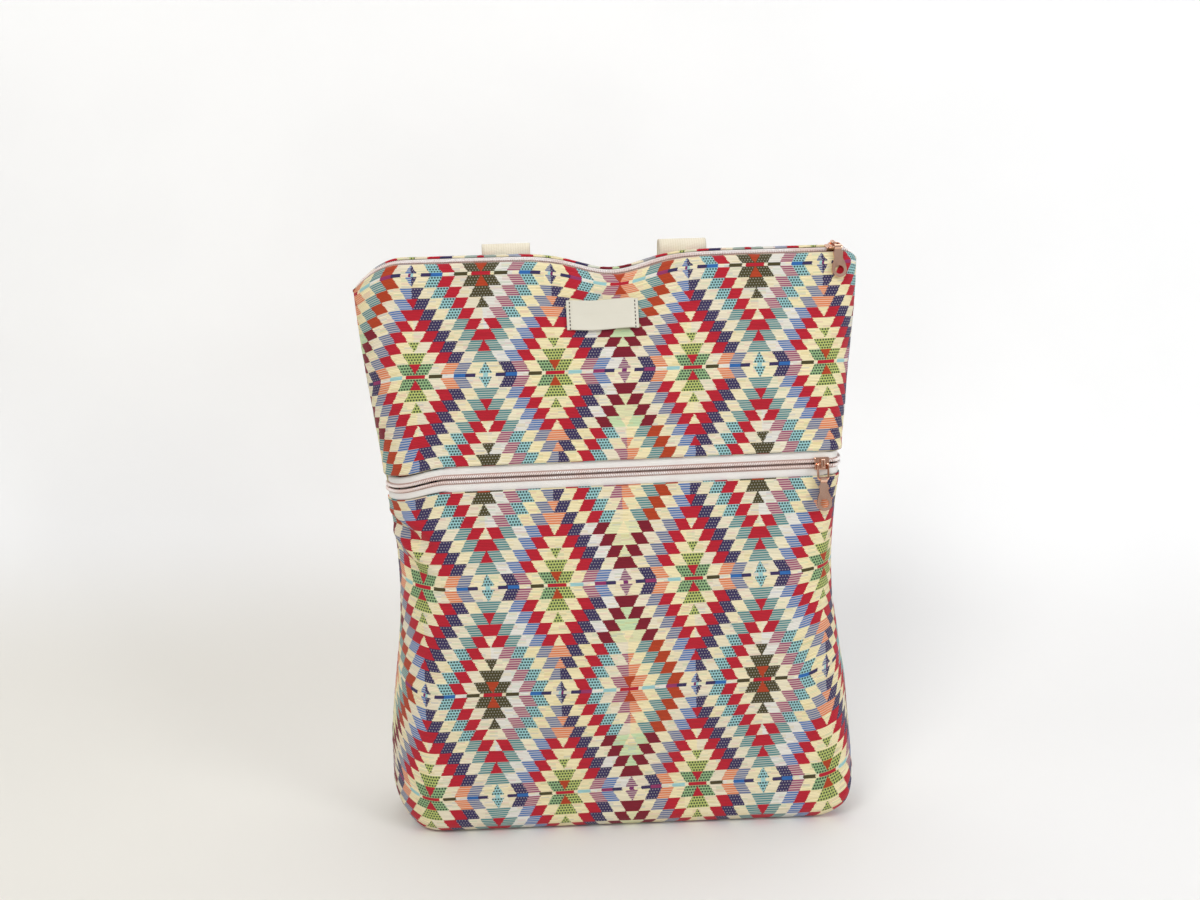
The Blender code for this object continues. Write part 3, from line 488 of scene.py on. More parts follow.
def axis_bars(s, cells, rows, diamond, colour, weave):
    """The thin rows of bars on the diamonds' axes."""
    first = s.math("LESS_THAN", rows, 0.0)
    thin = s.math("MAXIMUM", first, s.math("GREATER_THAN", rows, float(PICK_ROWS)))
    half = COLUMN / CELL
    swapped = s.math("SUBTRACT", half, cells)
    along = s.math("ADD", swapped, s.math("MULTIPLY", first, s.math("SUBTRACT", cells, swapped)))
    share = s.math("DIVIDE", along, half)
    bars = s.ramp(share, [(a / half, srgb(PALETTE[c])) for a, c in AXIS_BARS], "CONSTANT")
    others = s.ramp(share, [(a / half, srgb(PALETTE[NEXT_BARS.get(c, c)])) for a, c in AXIS_BARS], "CONSTANT")
    odd = s.math("GREATER_THAN", s.math("FLOORED_MODULO", diamond, 2.0), 0.5)
    colour = s.mix(thin, colour, s.mix(odd, bars.outputs[0], others.outputs[0]))
    return colour, s.math("MULTIPLY", weave, s.math("SUBTRACT", 1.0, thin))


def uneven_shades(s, across, weft, cell_dice, colour):
    """Some pale cells are yellower, and threads of other colours show through the pale ones."""
    pale = s.math("GREATER_THAN", s.brightness(colour), 0.62)
    yellow = s.math("MULTIPLY", pale, s.blend(cell_dice, 0.45, 0.6))
    colour = s.mix(s.math("MULTIPLY", yellow, 0.62), colour, srgb(PALETTE["y"]))
    stretch = s.math("FLOOR", s.math("DIVIDE", across, FLECK_LENGTH))
    shows = s.math("GREATER_THAN", s.random(weft, stretch, 1.0), 0.72)
    hue = s.ramp(s.random(weft, stretch, 2.0), [(place, srgb(code)) for place, code in FLECKS], "CONSTANT")
    return s.mix(s.math("MULTIPLY", pale, s.math("MULTIPLY", shows, 0.30)), colour, hue.outputs[0])


def dots_and_lines(s, across, rows, weave, colour):
    """The dots or lines of another thread, after the colour's weave."""
    dot_rows = s.math("MULTIPLY", rows, DOT_ROWS)
    stagger = s.math("MULTIPLY", s.math("FLOORED_MODULO", s.math("FLOOR", dot_rows), 2.0), 0.5)
    along = s.math("FRACT", s.math("ADD", s.math("DIVIDE", across, SPOT_PITCH), stagger))
    off_u = s.math("SUBTRACT", along, 0.5)
    off_v = s.math("SUBTRACT", s.math("FRACT", dot_rows), 0.5)
    away = s.math("SQRT", s.math("ADD", s.math("MULTIPLY", off_u, off_u), s.math("MULTIPLY", off_v, off_v)))
    for woven, gone, full, strength, hue in DOTS:
        dots = s.math("MULTIPLY", s.blend(away, gone, full), s.math("COMPARE", weave, woven, 0.05))
        colour = s.mix(s.math("MULTIPLY", dots, strength), colour, srgb(hue))
    line = s.math("FRACT", s.math("MULTIPLY", rows, LINE_ROWS))
    lines = s.blend(s.math("ABSOLUTE", s.math("SUBTRACT", line, 0.5)), 0.17, 0.29)
    lined = s.math("MULTIPLY", lines, s.math("GREATER_THAN", weave, (PALE_DOTS + PALE_LINES) / 2))
    return s.mix(s.math("MULTIPLY", lined, LINE_STRENGTH), colour, srgb(LINE_COLOUR))


def threads(s, across, up, weft, ring, colour):
    """Painted shade in the grooves between the wefts, a random tone for each weft in each ring, and the height of the
    threads.
    """
    rib = s.math("ABSOLUTE", s.math("SINE", s.math("MULTIPLY", up, math.pi / WEFT)))
    turned = s.math("ADD", s.math("MULTIPLY", across, math.pi / WARP), s.math("MULTIPLY", weft, 1.9))
    warp = s.math("ABSOLUTE", s.math("SINE", turned))
    # painted shade: each weft is darkened towards its edges, where the groove between wefts would lie in shadow; the
    # random factor is each weft's own tone
    groove_shade = s.blend(rib, 0.0, 0.6, 0.70, 1.0)
    shade = s.math("MULTIPLY", groove_shade, s.blend(s.random(weft, ring, 5.0), 0.0, 1.0, 0.93, 1.04, "LINEAR"))
    grey = s.node("ShaderNodeCombineXYZ")
    for socket in grey.inputs:
        s.join(socket, shade)
    multiply = s.node("ShaderNodeMix", data_type="RGBA", blend_type="MULTIPLY")
    multiply.inputs[0].default_value = 1.0
    s.join(multiply.inputs[6], colour)
    s.join(multiply.inputs[7], grey.outputs[0])
    return multiply.outputs[2], s.math("ADD", s.math("MULTIPLY", rib, 0.75), s.math("MULTIPLY", warp, 0.25))


def kilim_group():
    """The stepped diamonds, worked out from the cloth's coordinates: a colour with painted shade between the wefts,
    and the threads' height.
    """
    group = bpy.data.node_groups.new("kilim", "ShaderNodeTree")
    for name, default in (("Across", 0.0), ("Up", 0.0), ("Column", UPPER_B), ("Period", UPPER_PERIOD)):
        group.interface.new_socket(name, in_out="INPUT", socket_type="NodeSocketFloat").default_value = default
    group.interface.new_socket("Colour", in_out="OUTPUT", socket_type="NodeSocketColor")
    group.interface.new_socket("Height", in_out="OUTPUT", socket_type="NodeSocketFloat")
    s = Shader(group)
    across, up, column, period = s.node("NodeGroupInput").outputs[:4]
    weft, shifted, diamond, cells, rows, row, ring = cloth_cells(s, across, up, column, period)
    colour, weave = ring_colours(s, shifted, row, ring)
    colour, weave = axis_bars(s, cells, rows, diamond, colour, weave)
    row_of_diamond = s.math("ADD", row, s.math("MULTIPLY", diamond, 31.0))
    cell_dice = s.random(ring, row_of_diamond, s.math("FLOOR", s.math("DIVIDE", up, period)))
    colour = uneven_shades(s, across, weft, cell_dice, colour)
    colour = dots_and_lines(s, across, rows, weave, colour)
    colour, height = threads(s, across, up, weft, ring, colour)
    out = s.node("NodeGroupOutput")
    s.join(out.inputs[0], colour)
    s.join(out.inputs[1], height)
    return group


def kilim_material(name, group, column, period):
    material, s, shader = new_material(name, 0.88)
    across, up = s.metres()
    made = s.node("ShaderNodeGroup", node_tree=group)
    for socket, value in zip(made.inputs, (across, up, column, period)):
        s.join(socket, value)
    s.join(shader.inputs["Base Color"], made.outputs[0])
    shader.inputs["Sheen Weight"].default_value = 0.12
    shader.inputs["Specular IOR Level"].default_value = 0.25
    add_bump(s, shader, made.outputs[1], 0.00035, 0.8)
    return material


def woven_material(name, colour, other, rib, cross, roughness=0.85, rose_edge=None):
    """Plain woven tape or webbing, with ribs along its length and finer threads across, and painted shade between
    them.
    """
    material, s, shader = new_material(name, roughness)
    along, across = s.metres()
    ribs = s.math("ABSOLUTE", s.math("SINE", s.math("MULTIPLY", across, math.pi / rib)))
    turned = s.math("ADD", s.math("MULTIPLY", along, math.pi / cross), s.math("FLOOR", s.math("DIVIDE", across, rib)))
    threads = s.math("ABSOLUTE", s.math("SINE", turned))
    height = s.math("ADD", s.math("MULTIPLY", ribs, 0.5), s.math("MULTIPLY", threads, 0.5))
    position = s.node("ShaderNodeTexCoord").outputs["Object"]
    soil = s.noise(position, 60.0, 3.0)
    # painted shade: the low parts of the ribs and threads take the darker colour other, as if in shadow; other also
    # gives the soil below
    base = s.mix(s.math("MULTIPLY", s.blend(height, 0.1, 0.7), 0.7), srgb(other), srgb(colour))
    base = s.mix(s.blend(soil, 0.45, 0.75, 0.0, 0.25), base, srgb(other))
    if rose_edge:
        edge, hue = rose_edge
        base = s.mix(s.blend(across, edge + 0.0004, edge, 0.0, 0.85), base, srgb(hue))
    s.join(shader.inputs["Base Color"], base)
    shader.inputs["Sheen Weight"].default_value = 0.1
    add_bump(s, shader, height, 0.0003, 0.7)
    return material


def metal_material():
    """Rose-gold plating: edges painted lighter as a highlight, fine scratches and a slightly uneven polish."""
    material, s, shader = new_material("rose_gold", 0.22, 1.0)
    position = s.node("ShaderNodeTexCoord").outputs["Object"]
    stretch = s.node("ShaderNodeMapping")
    s.join(stretch.inputs["Vector"], position)
    stretch.inputs["Scale"].default_value = (1.0, 1.0, 0.12)
    scratches = s.noise(stretch.outputs[0], 2600.0, 4.0)
    polish = s.noise(position, 240.0, 2.0)
    edge_highlight = s.node("ShaderNodeNewGeometry").outputs["Pointiness"]
    tone = s.mix(s.blend(polish, 0.35, 0.7), srgb("A8613F"), srgb("C67F5C"))
    # painted highlight: the pointed edges are painted a pale rose
    tone = s.mix(s.blend(edge_highlight, 0.52, 0.60), tone, srgb("E8BFA6"))
    s.join(shader.inputs["Base Color"], tone)
    s.join(shader.inputs["Roughness"], s.blend(polish, 0.2, 0.8, 0.10, 0.22, "LINEAR"))
    add_bump(s, shader, scratches, 0.00003, 0.5)
    return material


def coil_material():
    """Plated nylon coil, between silver and rose."""
    material, s, shader = new_material("coil", 0.30, 0.12)
    position = s.node("ShaderNodeTexCoord").outputs["Object"]
    tone = s.mix(s.blend(s.noise(position, 700.0, 1.0), 0.35, 0.65), srgb("FBF8F6"), srgb("F1EAE6"))
    tone = s.mix(s.blend(s.noise(position, 30.0, 2.0), 0.4, 0.7), tone, srgb("EED9D0"))
    s.join(shader.inputs["Base Color"], tone)
    add_bump(s, shader, s.noise(position, 3000.0, 2.0), 0.00004, 0.4)
    return material


def cotton_material(name, colour):
    material, s, shader = new_material(name, 0.9)
    position = s.node("ShaderNodeTexCoord").outputs["Object"]
    weave = s.noise(position, 2200.0, 3.0)
    s.join(shader.inputs["Base Color"], s.mix(s.blend(weave, 0.3, 0.7), srgb(colour), srgb("BDB5A4")))
    add_bump(s, shader, weave, 0.0002, 0.5)
    return material


def label_material():
    """Plain woven label, with painted shade between its threads, a row of dark stitches at either end and nothing on
    it.
    """
    material, s, shader = new_material("label_cloth", 0.8)
    along, up = s.metres()
    ribs = s.math("ABSOLUTE", s.math("SINE", s.math("MULTIPLY", up, math.pi / 0.0005)))
    threads = s.math("ABSOLUTE", s.math("SINE", s.math("MULTIPLY", along, math.pi / 0.0004)))
    height = s.math("MULTIPLY", s.math("ADD", ribs, threads), 0.5)
    # painted shade: the weave is darker where its threads are low
    base = s.mix(height, srgb("CDC8B7"), srgb("DEDACB"))
    from_end = s.math("SUBTRACT", LABEL_WIDTH / 2, s.math("ABSOLUTE", along))
    row = s.blend(s.math("ABSOLUTE", s.math("SUBTRACT", from_end, 0.0024)), 0.00045, 0.00030)
    dash = s.blend(s.math("FRACT", s.math("DIVIDE", up, 0.0026)), 0.62, 0.56)
    stitch = s.math("MULTIPLY", row, dash)
    base = s.mix(stitch, base, srgb("3A2E2C"))
    s.join(shader.inputs["Base Color"], base)
    add_bump(s, shader, s.math("ADD", s.math("MULTIPLY", height, 0.3), stitch), 0.0004, 0.7)
    return material


# The cloth panels


def base_rows(side, count):
    def flat(share):
        def place(turn):
            x, y = section(side, turn, 0.0)
            return x, share * max(y - BASE_EDGE, 0.0), base_lift(x)

        return place

    def round_edge(angle):
        def place(turn):
            x, y = section(side, turn, 0.0)
            edge = min(BASE_EDGE, y)
            return x, y - edge * (1 - math.sin(angle)), base_lift(x) + edge * (1 - math.cos(angle))

        return place

    return [flat(share) for share in steps(0.0, 1.0, count)] + [round_edge(math.radians(a)) for a in steps(9, 81, 8)]


def lower_wall_rows(side, high, count):
    def row_at(share):
        def place(turn):
            x, y = section(side, turn, 0.0)
            low = base_lift(x) + min(BASE_EDGE, y)
            z = low + (high - low) * share
            return (*section(side, turn, z), z)

        return place

    return [row_at(share) for share in steps(0.0, 1.0, count)]


def ridge_rows(side, low, count):
    centre_z = ridge_turn(side)[1]
    end = math.pi / 2 + side * TOP_TILT
    whole_rise = RIDGE_RADIUS * math.sin(end) + RIDGE_LAP * math.cos(end)
    tape_fall = side * CLOTH_EDGE * math.sin(TOP_TILT)

    def wall_top(turn):
        x, y = section(side, turn, RIDGE_Z)
        share = y / depth(side, RIDGE_Z)
        return x, y, centre_z - top_drop(x) + (1 - share) * (whole_rise - tape_fall), share

    def wall(part):
        def place(turn):
            high = wall_top(turn)[2]
            z = low + (high - low) * part
            return (*section(side, turn, z), z)

        return place

    def turned(angle, lap):
        def place(turn):
            x, y, high, share = wall_top(turn)
            back = RIDGE_RADIUS * (1 - math.cos(angle)) + lap * math.sin(end)
            rise = RIDGE_RADIUS * math.sin(angle) + lap * math.cos(end)
            return x, y - back * share, high + rise * share

        return place

    walls = [wall(part) for part in steps(0.0, 1.0, count)]
    return walls + [turned(end * part, 0.0) for part in steps(0.0, 1.0, 7)[1:]] + [turned(end, RIDGE_LAP)]


def fine_turns(corner_steps, middle_steps):
    corner = [0.25 * i / corner_steps for i in range(corner_steps)]
    return corner + steps(0.25, 0.75, middle_steps) + [1 - t for t in reversed(corner)]


def front_relief(x, z, seed):
    """How far the front cloth stands out of its even form, before its edges are tied down."""
    out = 0.0016 * wrinkle(x, z, seed, 0.085) + 0.0007 * wrinkle(x * 1.3 + 0.4 * z, z, seed + 5, 0.030)
    for start, end, width, height in CREASES:
        out += crease(x, z, start, end, width, height)
    return out


CREASES = (
    ((-0.174, 0.256), (-0.140, 0.236), 0.0055, 0.0030),
    ((-0.172, 0.248), (-0.141, 0.224), 0.0050, -0.0048),
    ((-0.170, 0.236), (-0.142, 0.212), 0.0055, 0.0034),
    ((-0.168, 0.224), (-0.140, 0.196), 0.0060, -0.0036),
    ((-0.142, 0.262), (-0.105, 0.230), 0.0080, -0.0026),
    ((-0.172, 0.300), (-0.120, 0.318), 0.0100, -0.0020),
    ((0.150, 0.250), (0.110, 0.214), 0.0100, -0.0016),
    ((0.165, 0.390), (0.100, 0.345), 0.0120, -0.0018),
    ((-0.160, 0.392), (-0.090, 0.352), 0.0120, -0.0018),
    ((-0.150, 0.060), (-0.080, 0.085), 0.0140, -0.0020),
    ((0.155, 0.050), (0.090, 0.080), 0.0140, -0.0020),
)


def relief(point, v, side, hems, seed):
    """How far the cloth stands out of its even form: its folds, tied down and puckered at hems and seams."""
    x, y, z = point
    tied = smooth_step(y, 0.001, 0.016) * smooth_step(z, 0.0, 0.02)
    out = front_relief(x, z, seed) if side == FRONT else 0.0018 * wrinkle(x, z, seed, 0.08)
    for hem in hems:
        tied *= smooth_step(abs(v - hem), -0.002, 0.016)
    out *= tied
    for hem in hems:
        near = abs(v - hem)
        out += 0.00055 * pucker(x, seed + hem * 100) * math.exp(-near / 0.007)
        out += 0.0004 * math.exp(-(((near - 0.0016) / 0.0018) ** 2))
    seam = y - (GAP / 2)
    return out + 0.0009 * pucker(z, seed + x) * math.exp(-seam / 0.008) * smooth_step(y, 0.0, SEAM_REACH)


def slump(x, z, v, side):
    """How the cloth moves where the top dips and where the pocket's zip hangs, in the upright bag."""
    sunk = dip(x, z)
    fallen = sunk
    if side == FRONT:
        fallen += droop(x) * math.exp(-((v / DROOP_REACH) ** 2))
    return Vector((0, 0.25 * sunk * math.sin(math.pi * smooth_step(z, RIDGE_Z - DIP_REACH, RIDGE_Z)), -fallen))


def make_panel(name, side, rows, turns, zero_row, zero_up, material, hems, seed):
    """Fine cloth over a CAD panel: relief, puckers at its hems, and the pattern's own coordinates."""
    upright = [[Vector(place(turn)) for turn in turns] for place in rows]
    middle = min(range(len(turns)), key=lambda i: abs(upright[-1][i].x))
    up = arc_lengths([row[middle] for row in upright], zero_row)
    places, uvs = [], []
    for index, row in enumerate(upright):
        zero = min(range(len(row)), key=lambda i: abs(row[i].x))
        across = arc_lengths(row, zero)
        shift = row[zero].x
        new_places, new_uvs = [], []
        for column, point in enumerate(row):
            left, right = row[max(column - 1, 0)], row[min(column + 1, len(row) - 1)]
            low, high = upright[max(index - 1, 0)][column], upright[min(index + 1, len(rows) - 1)][column]
            normal = (right - left).cross(high - low)
            normal = normal.normalized() if normal.length > 1e-12 else Vector((0, 1, 0))
            if normal.y < 0:
                normal.negate()
            v = up[index] + zero_up
            moved = point + normal * relief(point, v, side, hems, seed)
            if point.y < SEAM_REACH:
                moved.y = max(moved.y, GAP / 2)
            moved += slump(point.x, point.z, v, side)
            new_places.append(lean((moved.x, side * moved.y, moved.z)))
            new_uvs.append((across[column] + shift, v))
        places.append(new_places)
        uvs.append(new_uvs)
    obj = add_object(name, grid_mesh(places, uvs), material)
    solidify(obj, PANEL_SHELL)
    return obj, places, uvs


def face_out(obj, side):
    """Turns the sheet's faces so that its thickness goes into the bag."""
    mesh = bmesh.new()
    mesh.from_mesh(obj.data)
    facing = sum(face.normal.y * face.calc_area() for face in mesh.faces)
    if facing * side < 0:
        bmesh.ops.reverse_faces(mesh, faces=mesh.faces)
    mesh.to_mesh(obj.data)
    mesh.free()
    obj.data.shade_smooth()


BACK_START = 0.27  # where the pattern's zero lies on the back, above the base's middle


def make_cloth(group):
    wall_step = 0.0026
    tilt_edge = CLOTH_EDGE * math.sin(pocket_tilt())
    turns = fine_turns(18, 122)
    rows = ridge_rows(FRONT, POCKET_Z + tilt_edge, round((RIDGE_Z - POCKET_Z) / wall_step))
    upper_cloth = kilim_material("kilim_upper", group, UPPER_B, UPPER_PERIOD)
    lower_cloth = kilim_material("kilim_lower", group, LOWER_B, LOWER_PERIOD)
    rise = arc_lengths([Vector(place(0.5)) for place in rows], 0)[-1]
    hems = (CLOTH_EDGE, CLOTH_EDGE + rise)
    made = [("front_upper_cloth", "front_upper_panel", FRONT, rows, 0, CLOTH_EDGE, upper_cloth, hems, 2.0)]
    rows = base_rows(FRONT, 8) + lower_wall_rows(FRONT, POCKET_Z - tilt_edge, round(POCKET_Z / wall_step))
    last, hem = len(rows) - 1, -CLOTH_EDGE
    made.append(("front_lower_cloth", "front_lower_panel", FRONT, rows, last, hem, lower_cloth, (hem,), 9.0))
    rows = base_rows(BACK, 6) + lower_wall_rows(BACK, POCKET_Z, 96) + ridge_rows(BACK, POCKET_Z, 56)[1:]
    rise = arc_lengths([Vector(place(0.5)) for place in rows], 0)[-1]
    made.append(("back_cloth", "back_panel", BACK, rows, 0, -BACK_START, upper_cloth, (rise - BACK_START,), 17.0))
    for name, node, side, rows, zero_row, zero_up, material, hems, seed in made:
        obj, places, uvs = make_panel(name, side, rows, turns, zero_row, zero_up, material, hems, seed)
        face_out(obj, side)
        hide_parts(node)


# The zips: tapes and chains follow the CAD's, sunk where the top dips


def pocket_tilt():
    step = 0.001
    slope = (depth(FRONT, POCKET_Z + step) - depth(FRONT, POCKET_Z - step)) / (2 * step)
    return math.pi / 2 + math.atan(slope)


class ZipFrame:
    """Takes a zip's own coordinates to the bag's: x along, y across, z out."""

    def __init__(self, y, z, tilt, half, x_range, flat_ends, fall, sunk):
        self.half = half
        self.origin = Vector((0, y, z))
        self.turn = Matrix.Rotation(tilt, 3, "X")
        self.x_range = x_range
        self.flat_ends = flat_ends
        self.fall = fall
        self.sunk = sunk

    def near_end(self, x):
        left, right = self.flat_ends
        reach = 0.012
        return max(smooth_step(-x, -left - reach, -left), smooth_step(x, right - reach, right))

    def at(self, x, y, z):
        side = BACK if y > 0 else FRONT
        step = min(0.0002, (self.half - abs(x)) / 4)
        share, fallen = self.fall(x, side)
        slope = (self.fall(x + step, side)[1] - self.fall(x - step, side)[1]).length / (2 * step)
        if x < 0:
            slope = -slope
        widest = TAPE_OUTER * share - (TAPE_LAP + TAPE_GAP) * self.near_end(x)
        across = math.copysign(min(abs(y) * share, widest), y)
        point = self.turn @ Vector((0, across, z - self.sunk)) + self.origin
        square = 1 / math.sqrt(1 + slope * slope)
        out = z - self.sunk
        inwards = fallen.normalized() * out * (1 - square)
        placed = point + Vector((x + out * slope * square, 0, 0)) + fallen + inwards
        placed.z -= dip(placed.x, placed.z) if self.sunk == 0.0 else droop(placed.x)
        return lean(placed)


def ellipse_share(x, side, z):
    left, right = corner_widths(side, z)
    corner = left if x < 0 else right
    beyond = max(abs(x) - half_width(z) + corner, 0.0)
    return math.sqrt(max(1 - (beyond / corner) ** 2, 0.0))


def top_fall(x, side):
    return ellipse_share(x, side, RIDGE_Z), Vector((0, 0, -top_drop(x)))


def pocket_fall(x, _side):
    gone = 1 - ellipse_share(x, FRONT, POCKET_Z)
    return 1.0, Vector((0, depth(FRONT, POCKET_Z) * gone, 0))


def zip_frames():
    half = TOP_WIDTH / 2
    reach = half - TOP_ZIP_SHORT
    bends = (TOP_DROP_LEFT_RUN - half, half - CORNER_BACK)
    top = ZipFrame(0.0, RIDGE_Z, TOP_TILT, half, (-reach, reach), bends, top_fall, 0.0)
    half = half_width(POCKET_Z)
    short = 1 - math.sqrt(1 - POCKET_ZIP_END**2)
    ends = (CORNER_LEFT * short - half, half - CORNER_RIGHT * short)
    bends = (CORNER_LEFT - half, half - CORNER_RIGHT)
    y = -depth(FRONT, POCKET_Z)
    pocket = ZipFrame(y, POCKET_Z, pocket_tilt(), half, ends, bends, pocket_fall, CLOTH_FACE)
    return top, pocket


def zip_places(frame, middle, corner):
    """Places along the zip: evenly spread, and by even angles round its ends."""
    low, high = frame.x_range
    bend_left, bend_right = frame.flat_ends
    shares = [1 - math.cos(angle) for angle in steps(0, math.pi / 2, corner)[:-1]]
    left = [low + (bend_left - low) * share for share in shares]
    right = [high - (high - bend_right) * share for share in shares]
    return left + steps(bend_left, bend_right, middle) + right[::-1]


def even_stations(frame, pitch):
    """Places spread evenly along the zip's own curve."""
    xs = zip_places(frame, 500, 60)
    lengths = arc_lengths([frame.at(x, 0.0, 0.0) for x in xs], 0)
    count = int(lengths[-1] / pitch)
    found, index = [], 0
    for target in [lengths[-1] * (i + 0.5) / count for i in range(count)]:
        while lengths[index + 1] < target:
            index += 1
        part = (target - lengths[index]) / (lengths[index + 1] - lengths[index])
        found.append((xs[index] + (xs[index + 1] - xs[index]) * part, target))
    return found


TOOTH_PITCH = 0.00130
TOOTH_LENGTH, TOOTH_WIDTH, TOOTH_HEIGHT = 0.00268, 0.00100, 0.00160
TOOTH_Y = 0.00180  # from the zip's middle to each tooth's middle
FINE_INNER = 0.00065  # the fine tape reaches closer to the middle than the CAD's, beside the slider's fin
GUARD_Z, GUARD_HALF = -0.0024, 0.0050  # the strip behind each chain, under the slider
TOOTH_SLANT = math.radians(24)


def make_tape(name, node, frame, side, material):
    xs = zip_places(frame, 150, 24)
    shares = (0, 0.03, 0.12, 0.3, 0.5, 0.7, 0.85, 0.97, 1.0)
    across = [FINE_INNER + (TAPE_OUTER - FINE_INNER) * share for share in shares]
    lengths = arc_lengths([frame.at(x, 0.0, 0.0) for x in xs], 0)
    places, uvs = [], []
    for y in across:
        wave = [0.00012 * noise.noise(Vector((x / 0.02, y / 0.01, side * 3.0))) for x in xs]
        places.append([frame.at(x, side * y, w) for x, w in zip(xs, wave)])
        uvs.append([(length, y) for length in lengths])
    obj = add_object(name, grid_mesh(places, uvs), material)
    solidify(obj, TAPE, 0.0)
    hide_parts(node)


def make_guard(name, frame, material):
    """A strip of cloth behind the chain, so that no dark slit shows between its halves."""
    low, high = frame.flat_ends
    xs = steps(low, high, 120)
    places = [[frame.at(x, y, GUARD_Z) for x in xs] for y in (-GUARD_HALF, -1e-5, GUARD_HALF)]
    uvs = [[(x, abs(y)) for x in xs] for y in (-GUARD_HALF, 0.0, GUARD_HALF)]
    obj = add_object(name, grid_mesh(places, uvs), material)
    solidify(obj, 0.0003, 0.0)


def make_chain(name, node, frame, side, material):
    """One half of the coil: a slanted tooth for each turn of its thread."""
    mesh = bmesh.new()
    for x, _length in even_stations(frame, TOOTH_PITCH):
        step = min(0.0003, (frame.half - abs(x)) / 3)
        along = (frame.at(x + step, 0, COIL_Z) - frame.at(x - step, 0, COIL_Z)).normalized()
        across = frame.turn @ Vector((0, 1, 0))
        out = along.cross(across - along * across.dot(along)).normalized()
        offset = frame.turn @ Vector((0, side * TOOTH_Y, 0))
        centre = frame.at(x, 0, COIL_Z) + offset
        outward = offset.normalized()
        slanted = (outward * math.cos(TOOTH_SLANT) - along * math.sin(TOOTH_SLANT)).normalized()
        third = slanted.cross(out).normalized()
        turn = Matrix((slanted * TOOTH_LENGTH / 2, third * TOOTH_WIDTH / 2, out * TOOTH_HEIGHT / 2))
        place = Matrix.Translation(centre) @ turn.transposed().to_4x4()
        bmesh.ops.create_uvsphere(mesh, u_segments=8, v_segments=6, radius=1.0, matrix=place)
    bmesh.ops.recalc_face_normals(mesh, faces=mesh.faces)
    obj = add_object(name, mesh, material)
    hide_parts(node)


def make_zips():
    rose_edge = (TOOTH_Y + TOOTH_LENGTH * 0.6, "B98D80")
    tape = woven_material("zip_tape", "F8F6F2", "E0DBD3", 0.0009, 0.0006, 0.8, rose_edge)
    guard = woven_material("zip_guard", "EFD3C8", "DDB5A6", 0.0009, 0.0006, 0.6)
    coil = coil_material()
    top, pocket = zip_frames()
    zips = ((top, "top", ((FRONT, "front"), (BACK, "back"))), (pocket, "pocket", ((1, "upper"), (-1, "lower"))))
    for zip_frame, prefix, sides in zips:
        for side, word in sides:
            make_tape(f"{prefix}_tape_{word}_cloth", f"{prefix}_zip_tape_{word}", zip_frame, side, tape)
            make_chain(f"{prefix}_chain_{word}", f"{prefix}_zip_coil_{word}", zip_frame, side, coil)
        make_guard(f"{prefix}_guard", zip_frame, guard)


# The label


def make_label():
    columns, rows = 60, 26
    places, uvs = [], []
    for row in range(rows + 1):
        new_places, new_uvs = [], []
        for column in range(columns + 1):
            across, up = column / columns - 0.5, row / rows - 0.5
            x, z = LABEL_X + LABEL_WIDTH * across, LABEL_Z + LABEL_HEIGHT * up
            left, right = corner_widths(FRONT, z)
            half = half_width(z)
            turn = 0.25 + 0.5 * (x + half - left) / (2 * half - left - right)
            y = section(FRONT, turn, z)[1] + GAP + 0.0016
            tied = 1 - smooth_step(abs(across), 0.40, 0.47)
            y += 0.0012 * tied * (0.35 + abs(up) * 1.3) + 0.0004 * noise.noise(Vector((x / 0.012, 4.0, z / 0.008)))
            y += 0.25 * dip(x, z)
            z += 0.0006 * math.sin(x / 0.009) * tied
            new_places.append(lean((x, -y, z)))
            new_uvs.append((LABEL_WIDTH * across, LABEL_HEIGHT * up))
        places.append(new_places)
        uvs.append(new_uvs)
    obj = add_object("label_patch", grid_mesh(places, uvs), label_material())
    face_out(obj, FRONT)
    solidify(obj, LABEL_CLOTH)
    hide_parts("label")


# The shoulder straps


def run_direction():
    return Vector((RUN_END_X - RUN_TOP_X, 0, RUN_END_Z - RUN_TOP_Z)).normalized()


def run_plane():
    return BACK_BELLY + RUN_STAND_OFF


def hairpin(bar, along, radius, tail):
    side = Vector((0, 1, 0))
    arc = [bar + side * radius * math.cos(a) + along * radius * math.sin(a) for a in steps(0, math.pi, 6)]
    return arc + [arc[-1] - along * tail * share for share in (0.5, 1.0)]


def strap_path():
    off = GAP + WEBBING / 2
    flat_y = depth(BACK, RIDGE_Z) + off
    rising = [Vector((STRAP_X, depth(BACK, z) + off, z)) for z in steps(STRAP_SEWN_Z, RIDGE_Z - 0.004, 4)]
    rising.append(Vector((STRAP_X, flat_y, RIDGE_Z + 0.004)))
    fold_z = STRAP_FOLD_Z - STRAP_FOLD_RADIUS
    fold = []
    for angle in steps(0, math.pi, 6):
        y = flat_y + STRAP_FOLD_RADIUS * (1 - math.cos(angle))
        fold.append(Vector((STRAP_X, y, fold_z + STRAP_FOLD_RADIUS * math.sin(angle))))
    start, end = fold[-1], Vector((RUN_TOP_X, run_plane(), RUN_TOP_Z))
    free = []
    for share in steps(0, 1, 16)[1:]:
        x = start.x + (end.x - start.x) * smooth_step(share, 0.05, 1.0)
        y = start.y + (end.y - start.y) * share
        slack = math.sin(math.pi * share**0.9) ** 2 * STRAP_SLACK * 0.8
        free.append(Vector((x, y + slack, start.z + (end.z - start.z) * share)))
    return rising + fold + free + lower_run(end)


